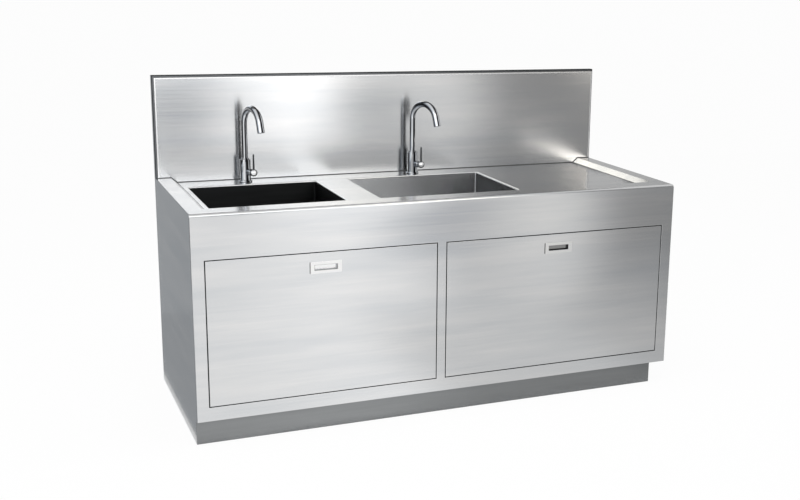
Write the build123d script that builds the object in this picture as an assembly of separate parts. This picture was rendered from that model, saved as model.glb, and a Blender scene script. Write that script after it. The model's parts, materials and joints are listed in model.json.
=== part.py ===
from build123d import *
import os
from math import atan, cos, radians, sin, tan

# Hand wash sink for a clinic: a stainless steel cabinet with a sunk worktop, two bowls,
# a drainboard on the right, a tall splashback, two flap doors and two mixer taps.
# Sizes are in millimetres. +X runs to the right along the front, +Y towards the wall
# and +Z up. The origin is on the floor, under the middle of the overall box.

# Overall sizes
width = 1800.0
depth = 700.0
rim_height = 780.0
total_height = 1155.0

# Sheet metal
sheet = 1.5
door_sheet = 1.2
bend_radius = 2.5
front_bend = 10.0
corner_radius = 3.0
corner_return = 15.0
least_radius = 0.2
seat_gap = 0.3

# Worktop: a flat rim on three sides, a slope down, then the sunk deck
rim_side = 55.0
rim_front = 80.0
slope_run = 22.0
deck_drop = 18.0
rim_lip = 12.0
board_thickness = 16.0
board_inset = 8.0
board_rear_inset = 18.0

# Splashback
splash_depth = 20.5
rib_width = 60.0
rib_flange = 14.0
rib_places = (-600.0, 0.0, 600.0)

# Bowls: widths, and what is left of the deck beside, between, before and behind them
left_bowl_width = 472.0
right_bowl_width = 538.0
bowl_side_ledge = 20.0
bowl_spacing = 126.0
left_front_ledge = 54.0
right_front_ledge = 69.0
left_tap_ledge = 54.0
right_tap_ledge = 48.0
bowl_depth = 240.0
bowl_fall = 8.0
bowl_corner = 6.0
bowl_edge_radius = 4.0
bowl_edge_skirt = 2.0
bowl_floor_radius = 5.0
bowl_well = 140.0
weld_gap = 0.05
board_gap = 3.0

# Face frame and door openings
left_stile = 42.0
right_stile = 44.0
centre_stile = 32.0
left_opening_width = 803.0
bottom_rail = 47.0
opening_height = 500.0
opening_return = 30.0
mouth_round = 0.7

# Plinth, shelf and feet
plinth_height = 80.0
plinth_set_back = 10.0
plinth_end_inset = 62.0
plinth_rear_inset = 12.0
plinth_top_flange = 25.0
plinth_bottom_flange = 15.0
shelf_rise = 30.0
shelf_lip = 40.0
foot_pad_radius = 22.0
foot_pad_height = 9.0
foot_stem_radius = 5.0
foot_nut_radius = 9.0
foot_nut_height = 8.0
foot_plate = 50.0
foot_plate_thickness = 3.0
left_foot_inset = 120.0
right_foot_inset = 160.0
foot_set_back = 80.0

# Inner frame of square tube
tube = 25.0
tube_wall = 1.5
tube_corner = 2.0
board_rail_gap = 87.0
end_rail_inset = 260.0

# Back panel
service_width = 170.0
service_height = 160.0

# Doors
door_gap = 3.0
door_thickness = 18.0
door_bend = 1.1
hinge_back = 5.0
hinge_up = 5.0
hinge_width = 60.0
hinge_lug = 14.0
hinge_side_gap = 0.3
hinge_knuckle = 3.25
hinge_pin = 1.5
hinge_pin_play = 0.05
hinge_arm = 3.0
hinge_plate = 1.5
hinge_behind = 2.0
hinge_leaf_height = 30.0
hinge_inset = 120.0
hinge_notch_side = 2.0
hinge_notch_rise = 5.0

# Flush pulls and magnetic catches
pull_width = 112.0
pull_height = 41.0
pull_proud = 2.0
pull_corner = 4.0
pull_edge = 0.8
pull_drop = 30.0
recess_width = 79.0
recess_height = 18.0
recess_depth = 11.0
recess_taper = 3.0
recess_corner = 3.0
recess_wall = 1.2
catch_width = 46.0
catch_height = 13.0
strike_height = 12.0
strike_drop = 3.0
strike_thickness = 1.5

# Wastes: strainer, basket, nut, tail, bottle trap and outlet pipe
waste_flange = 57.0
waste_flange_thickness = 2.0
waste_cup = 42.0
waste_wall = 2.0
waste_cup_depth = 42.0
waste_spigot = 19.0
waste_spigot_bore = 16.5
waste_spigot_length = 30.0
waste_hole_play = 1.0
gasket_thickness = 2.5
gasket_radius = 55.0
waste_nut_radius = 52.0
waste_nut_height = 12.0
waste_nut_lugs = 8
basket_rim = 39.4
basket_top_radius = 37.0
basket_foot_radius = 31.0
basket_wall = 1.5
basket_clear = 0.3
basket_top_drop = 3.0
stopper_radius = 19.5
stopper_thickness = 5.0
basket_holes = 6
basket_hole_radius = 3.5
basket_knob_radius = 6.0
basket_stem_radius = 2.5
tail_radius = 16.0
tail_bore = 14.0
tail_nut_radius = 25.0
tail_nut_height = 20.0
trap_drop = 92.0
trap_radius = 36.0
trap_wall = 3.0
trap_height = 92.0
trap_neck_radius = 24.0
trap_neck_height = 18.0
trap_cup_radius = 39.0
trap_cup_height = 34.0
trap_cup_ribs = 16
trap_arm_radius = 25.0
trap_arm_length = 52.0
trap_arm_drop = 24.0
trap_socket_depth = 22.0
pipe_radius = 20.0
pipe_wall = 2.0
pipe_end_inset = 12.0
pipe_nut_radius = 28.0
pipe_nut_length = 16.0

# Mixer taps
left_tap_offset = -16.0
right_tap_offset = 13.0
tap_set_back = 75.0
mixer_hole = 17.5
mixer_flange = 25.0
mixer_flange_height = 4.0
mixer_radius = 20.0
mixer_height = 85.0
mixer_groove = 1.0
mixer_washer = 1.5
mixer_shank_radius = 14.0
mixer_shank_length = 62.0
mixer_nut_radius = 26.0
mixer_nut_height = 10.0
supply_radius = 5.0
supply_wall = 1.5
supply_play = 0.05
supply_socket = 14.0
supply_spacing = 12.0
supply_bend = 25.0
supply_rise = (39.0, 59.0)
branch_height = 38.0
branch_radius = 13.0
branch_reach = 33.0
branch_neck_radius = 7.8
branch_neck = 4.0
branch_bore = 6.0
branch_angle = 32.0
running_play = 0.05
dome_radius = 13.5
dome_wall = 1.7
dome_reach = 44.0
dome_cut = 4.0
lever_length = 70.0
lever_foot_radius = 3.6
lever_tip_radius = 2.9
lever_pin = 1.5
tongue_thickness = 5.0
tongue_radius = 4.5
spout_radius = 11.0
spout_socket = 30.0
spout_collar_radius = 14.0
spout_collar_height = 5.0
spout_bend_height = 216.0
spout_bend_radius = 61.5
spout_sweep = 165.0
spout_steps = 11
spout_mouth_radius = 13.5
spout_outlet = 36.0
left_spout_angle = 15.0
right_spout_angle = 27.0
aerator_radius = 11.5
aerator_length = 12.0
aerator_recess = 1.5
aerator_holes = 6
aerator_hole_radius = 1.6

# Levels and planes that several pieces share
half = width / 2
front = -depth / 2 + pull_proud
rear = depth / 2
deck_z = rim_height - deck_drop
deck_half = half - rim_side - slope_run
deck_front = front + rim_front + slope_run
panel_top = rim_height - rim_lip
splash_face = rear - sheet - splash_depth
board_top = deck_z - sheet
board_bottom = board_top - board_thickness
opening_z = (plinth_height + bottom_rail, plinth_height + bottom_rail + opening_height)
centre_stile_x = -half + left_stile + left_opening_width + centre_stile / 2
left_opening_x = (-half + left_stile, centre_stile_x - centre_stile / 2)
right_opening_x = (centre_stile_x + centre_stile / 2, half - right_stile)
shelf_top = plinth_height + shelf_rise
plinth_front = front + plinth_set_back
plinth_x = (-half + sheet, half - plinth_end_inset)
plinth_y = (plinth_front, rear - plinth_rear_inset)
mixer_y = rear - tap_set_back
left_bowl_x = (-deck_half + bowl_side_ledge, -deck_half + bowl_side_ledge + left_bowl_width)
right_bowl_x = (left_bowl_x[1] + bowl_spacing, left_bowl_x[1] + bowl_spacing + right_bowl_width)
left_bowl_y = (deck_front + left_front_ledge, mixer_y - left_tap_ledge)
right_bowl_y = (deck_front + right_front_ledge, mixer_y - right_tap_ledge)
left_mixer_x = sum(left_bowl_x) / 2 + left_tap_offset
right_mixer_x = sum(right_bowl_x) / 2 + right_tap_offset
foot_places_x = (
    -half + left_foot_inset,
    (left_foot_inset - right_foot_inset) / 2,
    half - right_foot_inset,
)
foot_place_y = depth / 2 - foot_set_back
cross_rail_places = (
    (left_bowl_x[1] + right_bowl_x[0]) / 2,
    right_bowl_x[1] + board_rail_gap,
    half - end_rail_inset,
)
well_z = deck_z - bowl_depth - bowl_fall
well_bottom = well_z - sheet
hinge_y = front + hinge_back
hinge_z = opening_z[0] + door_gap + hinge_up
spigot_bottom = well_z - waste_cup_depth - waste_spigot_length
trap_top = spigot_bottom - trap_drop + tail_nut_height
trap_arm_z = trap_top - trap_arm_drop
shank_foot = deck_z + mixer_washer - mixer_shank_length
left_drain = (sum(left_bowl_x) / 2, sum(left_bowl_y) / 2)
right_drain = (sum(right_bowl_x) / 2, sum(right_bowl_y) / 2)


def block(x, y, z):
    """A box between pairs of X, Y and Z limits."""
    size = (x[1] - x[0], y[1] - y[0], z[1] - z[0])
    middle = (sum(x) / 2, sum(y) / 2, sum(z) / 2)
    return Pos(*middle) * Box(*size)


def grown(limits, by):
    """Limits moved apart by the same amount at both ends."""
    return (limits[0] - by, limits[1] + by)


def turned(*outline):
    """A round piece about Z, from the radius and height of each point of its half section."""
    return revolve(Plane.XZ * make_face(Polyline(*outline, close=True)), Axis.Z)


def ring(outer, inner, z):
    """A plain ring about Z between two heights."""
    return turned((inner, z[0]), (outer, z[0]), (outer, z[1]), (inner, z[1]))


def rod(radius, z):
    """A round bar about Z between two heights."""
    return Pos(0, 0, sum(z) / 2) * Cylinder(radius, z[1] - z[0])


def polar(shape, count):
    """Copies of a shape, evenly turned about Z."""
    return [Rot(0, 0, 360.0 * n / count) * shape for n in range(count)]


def front_bent(depth_y, z, inset):
    """A slab behind the front face, with the front's bent corners, inset on three sides."""
    plan = Rectangle(2 * (half - inset), depth_y - inset)
    plan = Pos(0, front + inset + (depth_y - inset) / 2) * plan
    if corner_radius - inset > least_radius:
        front_corners = plan.vertices().sort_by(Axis.Y)[:2]
        plan = fillet(front_corners, corner_radius - inset)
    return extrude(Pos(0, 0, z[0]) * plan, amount=z[1] - z[0])


def deck_pocket(grow, top):
    """The space over the sunk deck, with its slopes and floor moved out by grow."""
    slope = atan(deck_drop / slope_run)

    def outline(z):
        out = (z - deck_z) / tan(slope) + grow / sin(slope)
        y = (deck_front - out, splash_face + sheet + grow)
        side = Rectangle(2 * (deck_half + out), y[1] - y[0])
        return Pos(0, sum(y) / 2, z) * side

    return loft([outline(deck_z - grow), outline(top)], ruled=True)


def bowl_plan(bowl_x, bowl_y, grow, z):
    """Plan of a bowl's opening at a height, grown by a wall or a gap."""
    plan = RectangleRounded(
        bowl_x[1] - bowl_x[0] + 2 * grow, bowl_y[1] - bowl_y[0] + 2 * grow, bowl_corner + grow
    )
    return Pos(sum(bowl_x) / 2, sum(bowl_y) / 2, z) * plan


def bowl_cut(grow, z):
    """Both bowls' outlines as one cutter between two heights."""
    cutters = [
        extrude(bowl_plan(left_bowl_x, left_bowl_y, grow, z[0]), amount=z[1] - z[0]),
        extrude(bowl_plan(right_bowl_x, right_bowl_y, grow, z[0]), amount=z[1] - z[0]),
    ]
    return cutters


def tap_cut(z):
    """The two tap holes as cutters between two heights."""
    return [Pos(x, mixer_y, 0) * rod(mixer_hole, z) for x in (left_mixer_x, right_mixer_x)]


def zone(*outline, z=(0.0, rim_height + 1)):
    """An upright prism over a plan outline, to part a sheet along its welds."""
    return extrude(Pos(0, 0, z[0]) * make_face(Polyline(*outline, close=True)), amount=z[1] - z[0])


def rim_form(inset):
    """The worktop's outer form: a long bend at the front and small ones down both sides."""
    low = panel_top - inset
    top = rim_height - inset
    y = (front + inset, rear - inset)
    bend = front_bend - inset
    profile = make_face(
        [
            Line((y[0], low), (y[0], top - bend)),
            ThreePointArc(
                (y[0], top - bend),
                (y[0] + bend * (1 - sin(radians(45))), top - bend * (1 - sin(radians(45)))),
                (y[0] + bend, top),
            ),
            Line((y[0] + bend, top), (y[1], top)),
            Line((y[1], top), (y[1], low)),
            Line((y[1], low), (y[0], low)),
        ]
    )
    side = half - inset
    form = extrude(Plane.YZ.offset(-side) * profile, amount=2 * side)
    outline = form.edges().filter_by(
        lambda e: abs(abs(e.center().X) - side) < 0.01
        and e.center().Z > low + 0.01
        and e.center().Y < y[1] - 0.01
    )
    return fillet(outline, corner_radius - inset)


def bowl_edge(bowl_x, bowl_y):
    """The deck's rounded edge round a bowl, turned down to meet the bowl's wall."""
    low = deck_z - bowl_edge_radius - bowl_edge_skirt
    outer = extrude(bowl_plan(bowl_x, bowl_y, bowl_edge_radius + sheet, low), amount=deck_z - low)
    form = outer - extrude(bowl_plan(bowl_x, bowl_y, 0, low - 1), amount=deck_z - low + 2)
    form = fillet(edges_at(form, bowl_x, bowl_y, 0, deck_z), bowl_edge_radius)
    below_plan = bowl_plan(bowl_x, bowl_y, 2 * bowl_edge_radius + sheet, low - 1)
    below = extrude(below_plan, amount=board_top - low + 1)
    below -= extrude(bowl_plan(bowl_x, bowl_y, sheet, low - 2), amount=deck_z - low + 3)
    below = fillet(edges_at(below, bowl_x, bowl_y, sheet, board_top), bowl_edge_radius - sheet)
    return form - below


def edges_at(form, bowl_x, bowl_y, grow, z):
    """Edges of a form that run round a bowl's plan at a height."""
    reach_x = (bowl_x[1] - bowl_x[0]) / 2 + grow
    reach_y = (bowl_y[1] - bowl_y[0]) / 2 + grow
    middle = (sum(bowl_x) / 2, sum(bowl_y) / 2)
    return form.edges().filter_by(
        lambda e: abs(e.center().Z - z) < 0.01
        and abs(e.center().X - middle[0]) < reach_x + 0.01
        and abs(e.center().Y - middle[1]) < reach_y + 0.01
    )


def make_worktop():
    """The worktop: a sunk deck sheet and four folded rim channels, welded along the mitres."""
    tray = deck_pocket(sheet, rim_height)
    body = rim_form(0) - (rim_form(sheet) - tray) + tray - deck_pocket(0, rim_height + deck_drop)
    through = (board_top - sheet, deck_z + sheet)
    body -= bowl_cut(bowl_edge_radius, through)
    body -= tap_cut(through)
    body = body + bowl_edge(left_bowl_x, left_bowl_y) + bowl_edge(right_bowl_x, right_bowl_y)
    back = splash_face + sheet
    mitre_y = deck_front - (half - deck_half)
    corners = [(-deck_half, deck_front), (deck_half, deck_front), (deck_half, back), (-deck_half, back)]
    zones = [
        zone(*corners),
        zone((-half, front), (half, front), (half, mitre_y), corners[1], corners[0], (-half, mitre_y)),
        zone((-half, mitre_y), corners[0], corners[3], (-half, back)),
        zone((half, mitre_y), corners[1], corners[2], (half, back)),
        zone((-half, back), (half, back), (half, rear), (-half, rear)),
    ]
    return [body & part for part in zones]


def make_deck_board():
    """Waterproof boards glued under the deck: front and rear strips, and two panels between them."""
    gap = bowl_edge_radius + board_gap
    x = (-deck_half + board_inset, deck_half - board_inset)
    z = (board_bottom, board_top)
    front_strip = (deck_front + board_inset, min(left_bowl_y[0], right_bowl_y[0]) - gap)
    rear_strip = (max(left_bowl_y[1], right_bowl_y[1]) + gap, splash_face - board_rear_inset)
    between = (front_strip[1], rear_strip[0])
    return [
        block(x, front_strip, z),
        block(x, rear_strip, z) - tap_cut(grown(z, 1)),
        block((left_bowl_x[1] + gap, right_bowl_x[0] - gap), between, z),
        block((right_bowl_x[1] + gap, x[1]), between, z),
    ]


def make_splashback():
    """The folded splashback pan, with a tongue that drops between the slopes to the deck."""
    outer = block((-half, half), (splash_face, rear - sheet), (rim_height, total_height))
    front_edges = outer.faces().sort_by(Axis.Y)[0].edges().filter_by(lambda e: e.center().Z > rim_height)
    outer = fillet(front_edges, bend_radius)
    inner_x = (-half + sheet, half - sheet)
    inner_y = (splash_face + sheet, rear)
    inner = block(inner_x, inner_y, (rim_height - sheet, total_height - sheet))
    tongue = Polyline(
        (-deck_half, deck_z),
        (deck_half, deck_z),
        (deck_half + slope_run, rim_height),
        (-deck_half - slope_run, rim_height),
        close=True,
    )
    tongue = extrude(Plane.XZ.offset(-splash_face - sheet) * make_face(tongue), amount=sheet)
    return outer - inner + tongue


def make_splashback_back():
    """Flat sheet that closes the back of the splashback."""
    return block((-half, half), (rear - sheet, rear), (rim_height, total_height))


def make_splashback_ribs():
    """Hat section stiffeners behind the splashback's front sheet."""
    y = (splash_face + sheet, rear - sheet)
    z = (rim_height + seat_gap, total_height - 2 * sheet)
    side = rib_width / 2
    foot = side + rib_flange
    section = Polyline(
        (-foot, y[0]),
        (-side + sheet, y[0]),
        (-side + sheet, y[1] - sheet),
        (side - sheet, y[1] - sheet),
        (side - sheet, y[0]),
        (foot, y[0]),
        (foot, y[0] + sheet),
        (side, y[0] + sheet),
        (side, y[1]),
        (-side, y[1]),
        (-side, y[0] + sheet),
        (-foot, y[0] + sheet),
        close=True,
    )
    rib = extrude(Pos(0, 0, z[0]) * make_face(section), amount=z[1] - z[0])
    return [Pos(x, 0, 0) * rib for x in rib_places]


def make_face_frame():
    """Folded stiles and rails, with bent front corners and a rebate round each door opening."""
    z = (plinth_height, panel_top)
    skin = front_bent(corner_return, z, 0) - front_bent(corner_return + sheet, grown(z, sheet), sheet)
    for opening_x in (left_opening_x, right_opening_x):
        deep = (front, front + opening_return)
        skin += block(grown(opening_x, sheet), deep, grown(opening_z, sheet))
        skin -= block(opening_x, grown(deep, sheet), opening_z)
    mouth = skin.edges().filter_by(
        lambda e: abs(e.center().Y - front) < 0.01
        and opening_z[0] - 0.01 <= e.center().Z <= opening_z[1] + 0.01
        and abs(e.center().X) < half - corner_radius - 1
    )
    skin = fillet(mouth, sheet * mouth_round)
    stiles = (
        (-half, left_opening_x[0]),
        (left_opening_x[1], right_opening_x[0]),
        (right_opening_x[1], half),
    )
    deep = (front, front + opening_return)
    members = [block(x, deep, z) for x in stiles]
    for opening_x in (left_opening_x, right_opening_x):
        members.append(block(opening_x, deep, (z[0], opening_z[0])))
        members.append(block(opening_x, deep, (opening_z[1], z[1])))
    return [skin & member for member in members]


def make_side_panel(side, foot_z):
    """Flat side panel with a return along its rear edge. side is -1 for left, 1 for right."""
    y = (front + corner_return, rear - sheet)
    z = (foot_z, panel_top)
    skin = block((half - sheet, half), y, z)
    flange = block((half - corner_return, half), (y[1] - sheet, y[1]), z)
    panel = skin + flange
    return panel if side > 0 else mirror(panel, Plane.YZ)


def make_back_panel():
    """Rear sheets laid edge to edge, with a service opening left between them behind each trap."""
    y = (rear - sheet, rear)
    low = trap_arm_z - service_height / 2
    high = trap_arm_z + service_height / 2
    sheets = [
        block((-half, half), y, (plinth_height, low)),
        block((-half, half), y, (high, panel_top)),
    ]
    edge = -half
    for drain in (left_drain, right_drain):
        sheets.append(block((edge, drain[0] - service_width / 2), y, (low, high)))
        edge = drain[0] + service_width / 2
    sheets.append(block((edge, half), y, (low, high)))
    return sheets


def square_tube(length):
    """A length of square tube along Z, standing on the origin."""
    section = RectangleRounded(tube, tube, tube_corner)
    bore = tube - 2 * tube_wall
    section -= RectangleRounded(bore, bore, tube_corner - tube_wall / 2)
    return extrude(section, amount=length)


def post_places():
    """Centre of each upright: left, middle and right, at the front and at the back."""
    side = half - corner_radius - seat_gap - tube / 2
    y_front = front + front_bend + seat_gap + tube / 2
    y_rear = rear - 2 * sheet - seat_gap - tube / 2
    return side, y_front, y_rear


def make_frame_posts():
    """Six uprights that stand on the shelf and carry the worktop."""
    side, y_front, y_rear = post_places()
    posts = []
    for x in (-side, centre_stile_x, side):
        for y in (y_front, y_rear):
            top = rail_bottom() if x == centre_stile_x else rim_height - sheet
            posts.append(Pos(x, y, shelf_top) * square_tube(top - shelf_top))
    return posts


def rail_bottom():
    """Underside of the rails, one tube below the board."""
    return board_bottom - tube


def rail(x, y, z, along):
    """A hollow rectangular rail between limits, open at its ends."""
    skin = block(x, y, z)
    if along == "x":
        return skin - block(grown(x, 1), grown(y, -tube_wall), grown(z, -tube_wall))
    return skin - block(grown(x, -tube_wall), grown(y, 1), grown(z, -tube_wall))


def make_frame_rails():
    """Rails between the posts, and cross rails under the deck board."""
    side, y_front, y_rear = post_places()
    half_tube = tube / 2
    low = rail_bottom()
    front_y = (y_front - half_tube, y_front + half_tube)
    rear_y = (y_rear - half_tube, y_rear + half_tube)
    long_x = (-side + half_tube, side - half_tube)
    side_y = (front_y[1], rear_y[0])
    high = (low, rim_height - sheet)
    rails = [
        rail(long_x, front_y, high, "x"),
        rail(long_x, rear_y, (low, board_top), "x"),
        rail((-side - half_tube, -side + half_tube), side_y, high, "y"),
        rail((side - half_tube, side + half_tube), side_y, high, "y"),
    ]
    for x in cross_rail_places:
        rails.append(rail((x - half_tube, x + half_tube), side_y, (low, board_bottom), "y"))
    return rails


def make_bottom_shelf():
    """Cabinet floor: a pan turned upside down, with lips that lie on the plinth."""
    inset = sheet + seat_gap
    z = (plinth_height, shelf_top)
    y_back = rear - sheet - inset
    shelf = front_bent(y_back - front, z, inset)
    shelf -= front_bent(y_back - front - sheet, grown(z, -sheet), inset + sheet)
    x = (-half + shelf_lip, plinth_x[1] - shelf_lip / 2)
    y = (front + shelf_lip, y_back - shelf_lip)
    return shelf - block(x, y, (plinth_height - 1, plinth_height + 2 * sheet))


def make_plinth():
    """Plinth of four mitred channels, flush on the left and short of the right end."""
    z = (0, plinth_height)
    ring_body = block(plinth_x, plinth_y, z)
    ring_body -= block(grown(plinth_x, -sheet), grown(plinth_y, -sheet), grown(z, -sheet))
    low = (-1, plinth_height / 2)
    ring_body -= block(grown(plinth_x, -plinth_bottom_flange), grown(plinth_y, -plinth_bottom_flange), low)
    high = (plinth_height / 2, plinth_height + 1)
    ring_body -= block(grown(plinth_x, -plinth_top_flange), grown(plinth_y, -plinth_top_flange), high)
    cheek = block((-half, -half + sheet), (plinth_front, front + corner_return), z)
    ring_body += cheek
    x0, x1 = grown(plinth_x, sheet)
    y0, y1 = grown(plinth_y, sheet)
    run = (y1 - y0) / 2
    ends = [(x0 + run, y0 + run), (x1 - run, y0 + run)]
    zones = [
        zone((x0, y0), (x1, y0), ends[1], ends[0]),
        zone((x0, y1), (x1, y1), ends[1], ends[0]),
        zone((x0, y0), ends[0], (x0, y1)),
        zone((x1, y0), ends[1], (x1, y1)),
    ]
    return [ring_body & part for part in zones]


def make_levelling_feet():
    """Screw feet under the shelf: pad, locknut, stem and fixing plate in one."""
    top = shelf_top - sheet
    foot = turned(
        (0, 0),
        (foot_pad_radius - 1, 0),
        (foot_pad_radius, 1),
        (foot_pad_radius, foot_pad_height / 2),
        (foot_nut_radius, foot_pad_height),
        (foot_stem_radius, foot_pad_height),
        (foot_stem_radius, top),
        (0, top),
    )
    nut_z = top - foot_plate_thickness - foot_nut_height
    nut = extrude(Pos(0, 0, nut_z) * RegularPolygon(foot_nut_radius, 6), amount=foot_nut_height)
    side = (-foot_plate / 2, foot_plate / 2)
    foot = foot + nut + block(side, side, (top - foot_plate_thickness, top))
    return [Pos(x, y, 0) * foot for x in foot_places_x for y in (-foot_place_y, foot_place_y)]


def bowl_form(bowl_x, bowl_y, grow, top):
    """Solid form of a bowl: straight walls over a floor that falls to a square well."""
    floor = deck_z - bowl_depth - grow
    walls = extrude(bowl_plan(bowl_x, bowl_y, grow, floor), amount=top - floor)
    well = RectangleRounded(bowl_well + 2 * grow, bowl_well + 2 * grow, bowl_corner + grow)
    drain = Pos(sum(bowl_x) / 2, sum(bowl_y) / 2, floor - bowl_fall)
    fall = loft([drain * well, bowl_plan(bowl_x, bowl_y, grow, floor)], ruled=True)
    form = walls + fall
    rim_of_floor = form.edges().filter_by(lambda e: abs(e.center().Z - floor) < 0.01)
    return fillet(rim_of_floor, bowl_floor_radius + grow)


def make_bowl(bowl_x, bowl_y):
    """A bowl butt-welded under the deck's turned-down edge. Its well holds the waste."""
    top = deck_z - bowl_edge_radius - bowl_edge_skirt - weld_gap
    shell = bowl_form(bowl_x, bowl_y, sheet, top) - bowl_form(bowl_x, bowl_y, 0, deck_z)
    hole = rod(waste_cup + waste_hole_play, (well_bottom - 1, well_z + 1))
    return shell - Pos(sum(bowl_x) / 2, sum(bowl_y) / 2, 0) * hole


def make_waste():
    """Strainer body about the drain's axis: flange, cup and outlet spigot."""
    cup_inner = waste_cup - waste_wall
    cup_floor = well_z - waste_cup_depth
    flange_top = well_z + waste_flange_thickness
    return turned(
        (waste_spigot_bore, spigot_bottom),
        (waste_spigot, spigot_bottom),
        (waste_spigot, cup_floor),
        (waste_cup, cup_floor),
        (waste_cup, well_z),
        (waste_flange, well_z),
        (waste_flange - 1, flange_top - 0.5),
        (waste_cup + 2, flange_top),
        (cup_inner, flange_top - waste_wall / 2),
        (cup_inner, cup_floor + waste_wall),
        (waste_spigot_bore, cup_floor + waste_wall),
    )


def make_waste_nut():
    """Lugged ring nut and its washer face under the bowl."""
    top = well_bottom - gasket_thickness
    z = (top - waste_nut_height, top)
    nut = ring(waste_nut_radius, waste_cup + seat_gap, z)
    lug = Pos(waste_nut_radius, 0, sum(z) / 2) * Box(5, 10, waste_nut_height)
    return nut + polar(lug, waste_nut_lugs)


def make_gasket():
    """Rubber ring between the bowl and the nut."""
    return ring(gasket_radius, waste_cup + seat_gap, (well_bottom - gasket_thickness, well_bottom))


def make_basket():
    """Lift-out strainer basket with a knob and a stopper under its floor."""
    cup_floor = well_z - waste_cup_depth + waste_wall
    low = cup_floor + basket_clear + stopper_thickness
    top = well_z - basket_top_drop
    knob_z = top + basket_top_drop
    shell = turned(
        (0, cup_floor + basket_clear),
        (stopper_radius, cup_floor + basket_clear),
        (stopper_radius, low),
        (basket_foot_radius, low),
        (basket_top_radius, top - basket_wall),
        (basket_rim, top - basket_wall),
        (basket_rim, top),
        (basket_top_radius - basket_wall, top),
        (basket_foot_radius - basket_wall, low + basket_wall),
        (basket_stem_radius, low + basket_wall),
        (basket_stem_radius, knob_z - 3),
        (basket_knob_radius, knob_z - 1),
        (basket_knob_radius - 1, knob_z + 3),
        (0, knob_z + 4),
    )
    floor_hole = Pos((stopper_radius + basket_foot_radius) / 2, 0, low) * Cylinder(basket_hole_radius, 8)
    return shell - polar(floor_hole, basket_holes)


def make_tailpiece():
    """Tail pipe under the spigot, with its coupling nut."""
    nut_z = (spigot_bottom - tail_nut_height / 2, spigot_bottom + tail_nut_height / 2)
    nut = extrude(Pos(0, 0, nut_z[0]) * RegularPolygon(tail_nut_radius, 8), amount=tail_nut_height)
    nut -= rod(waste_spigot + seat_gap, (spigot_bottom, nut_z[1] + 1))
    pipe = rod(tail_radius, (trap_arm_z - trap_arm_radius, spigot_bottom))
    return nut + pipe - rod(tail_bore, (trap_arm_z - trap_arm_radius - 1, nut_z[1] + 1))


def make_trap():
    """Bottle trap: neck nut, bottle and the arm that takes the outlet pipe."""
    bottom = trap_top - trap_height
    shoulder = trap_top - trap_neck_height
    outside = turned(
        (0, bottom),
        (trap_radius, bottom),
        (trap_radius, shoulder - 8),
        (trap_neck_radius + 2, shoulder),
        (trap_neck_radius, shoulder),
        (trap_neck_radius, trap_top),
        (0, trap_top),
    )
    inside = turned(
        (0, bottom - 1),
        (trap_radius - trap_wall, bottom - 1),
        (trap_radius - trap_wall, shoulder - 8 - trap_wall),
        (trap_neck_radius, shoulder - trap_wall),
        (tail_radius + seat_gap, shoulder - trap_wall),
        (tail_radius + seat_gap, trap_top + 1),
        (0, trap_top + 1),
    )
    arm = level_rod(trap_arm_radius, (0, trap_arm_length))
    bore = level_rod(pipe_radius - pipe_wall, (0, trap_arm_length + 1))
    socket = level_rod(pipe_radius + seat_gap, (trap_arm_length - trap_socket_depth, trap_arm_length + 1))
    return outside + arm - inside - bore - socket


def level_rod(radius, y):
    """A round bar towards the wall at the height of the trap's arm."""
    return Pos(0, sum(y) / 2, trap_arm_z) * Rot(90, 0, 0) * Cylinder(radius, y[1] - y[0])


def make_trap_cup():
    """Screw cup that closes the bottle from below, with grip ribs."""
    bottom = trap_top - trap_height
    z = (bottom - trap_cup_height / 2, bottom + trap_cup_height / 2)
    inner = trap_radius + seat_gap
    cup = turned(
        (0, z[0]),
        (trap_cup_radius - 6, z[0]),
        (trap_cup_radius, z[0] + 5),
        (trap_cup_radius, z[1]),
        (inner, z[1]),
        (inner, bottom),
        (inner - 2 * trap_wall, bottom - seat_gap),
        (inner - 2 * trap_wall, z[0] + trap_wall),
        (0, z[0] + trap_wall),
    )
    grip = Pos(trap_cup_radius, 0, sum(z) / 2 + 3) * Box(3, 3, trap_cup_height - 14)
    return cup + polar(grip, trap_cup_ribs)


def make_waste_pipe(drain):
    """Outlet pipe from the trap's arm to the wall, with its slip nut."""
    y = (trap_arm_length - trap_socket_depth + seat_gap, rear - pipe_end_inset - drain[1])
    pipe = level_rod(pipe_radius, y)
    nut_face = trap_arm_length + seat_gap
    nut = extrude(RegularPolygon(pipe_nut_radius, 8), amount=pipe_nut_length)
    nut = Pos(0, nut_face + pipe_nut_length, trap_arm_z) * Rot(90, 0, 0) * nut
    pipe = pipe + nut - level_rod(pipe_radius - pipe_wall, grown(y, 1))
    return Pos(drain[0], drain[1], 0) * pipe


def hinge_places(opening_x):
    """Middle of each hinge along a door."""
    return (opening_x[0] + hinge_inset, sum(opening_x) / 2, opening_x[1] - hinge_inset)


def hinge_extrusion(section, x):
    """A hinge section, drawn in Y and Z about the pin, carried between two X limits."""
    return extrude(Plane.YZ.offset(x[0]) * Pos(hinge_y, hinge_z) * section, amount=x[1] - x[0])


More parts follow.
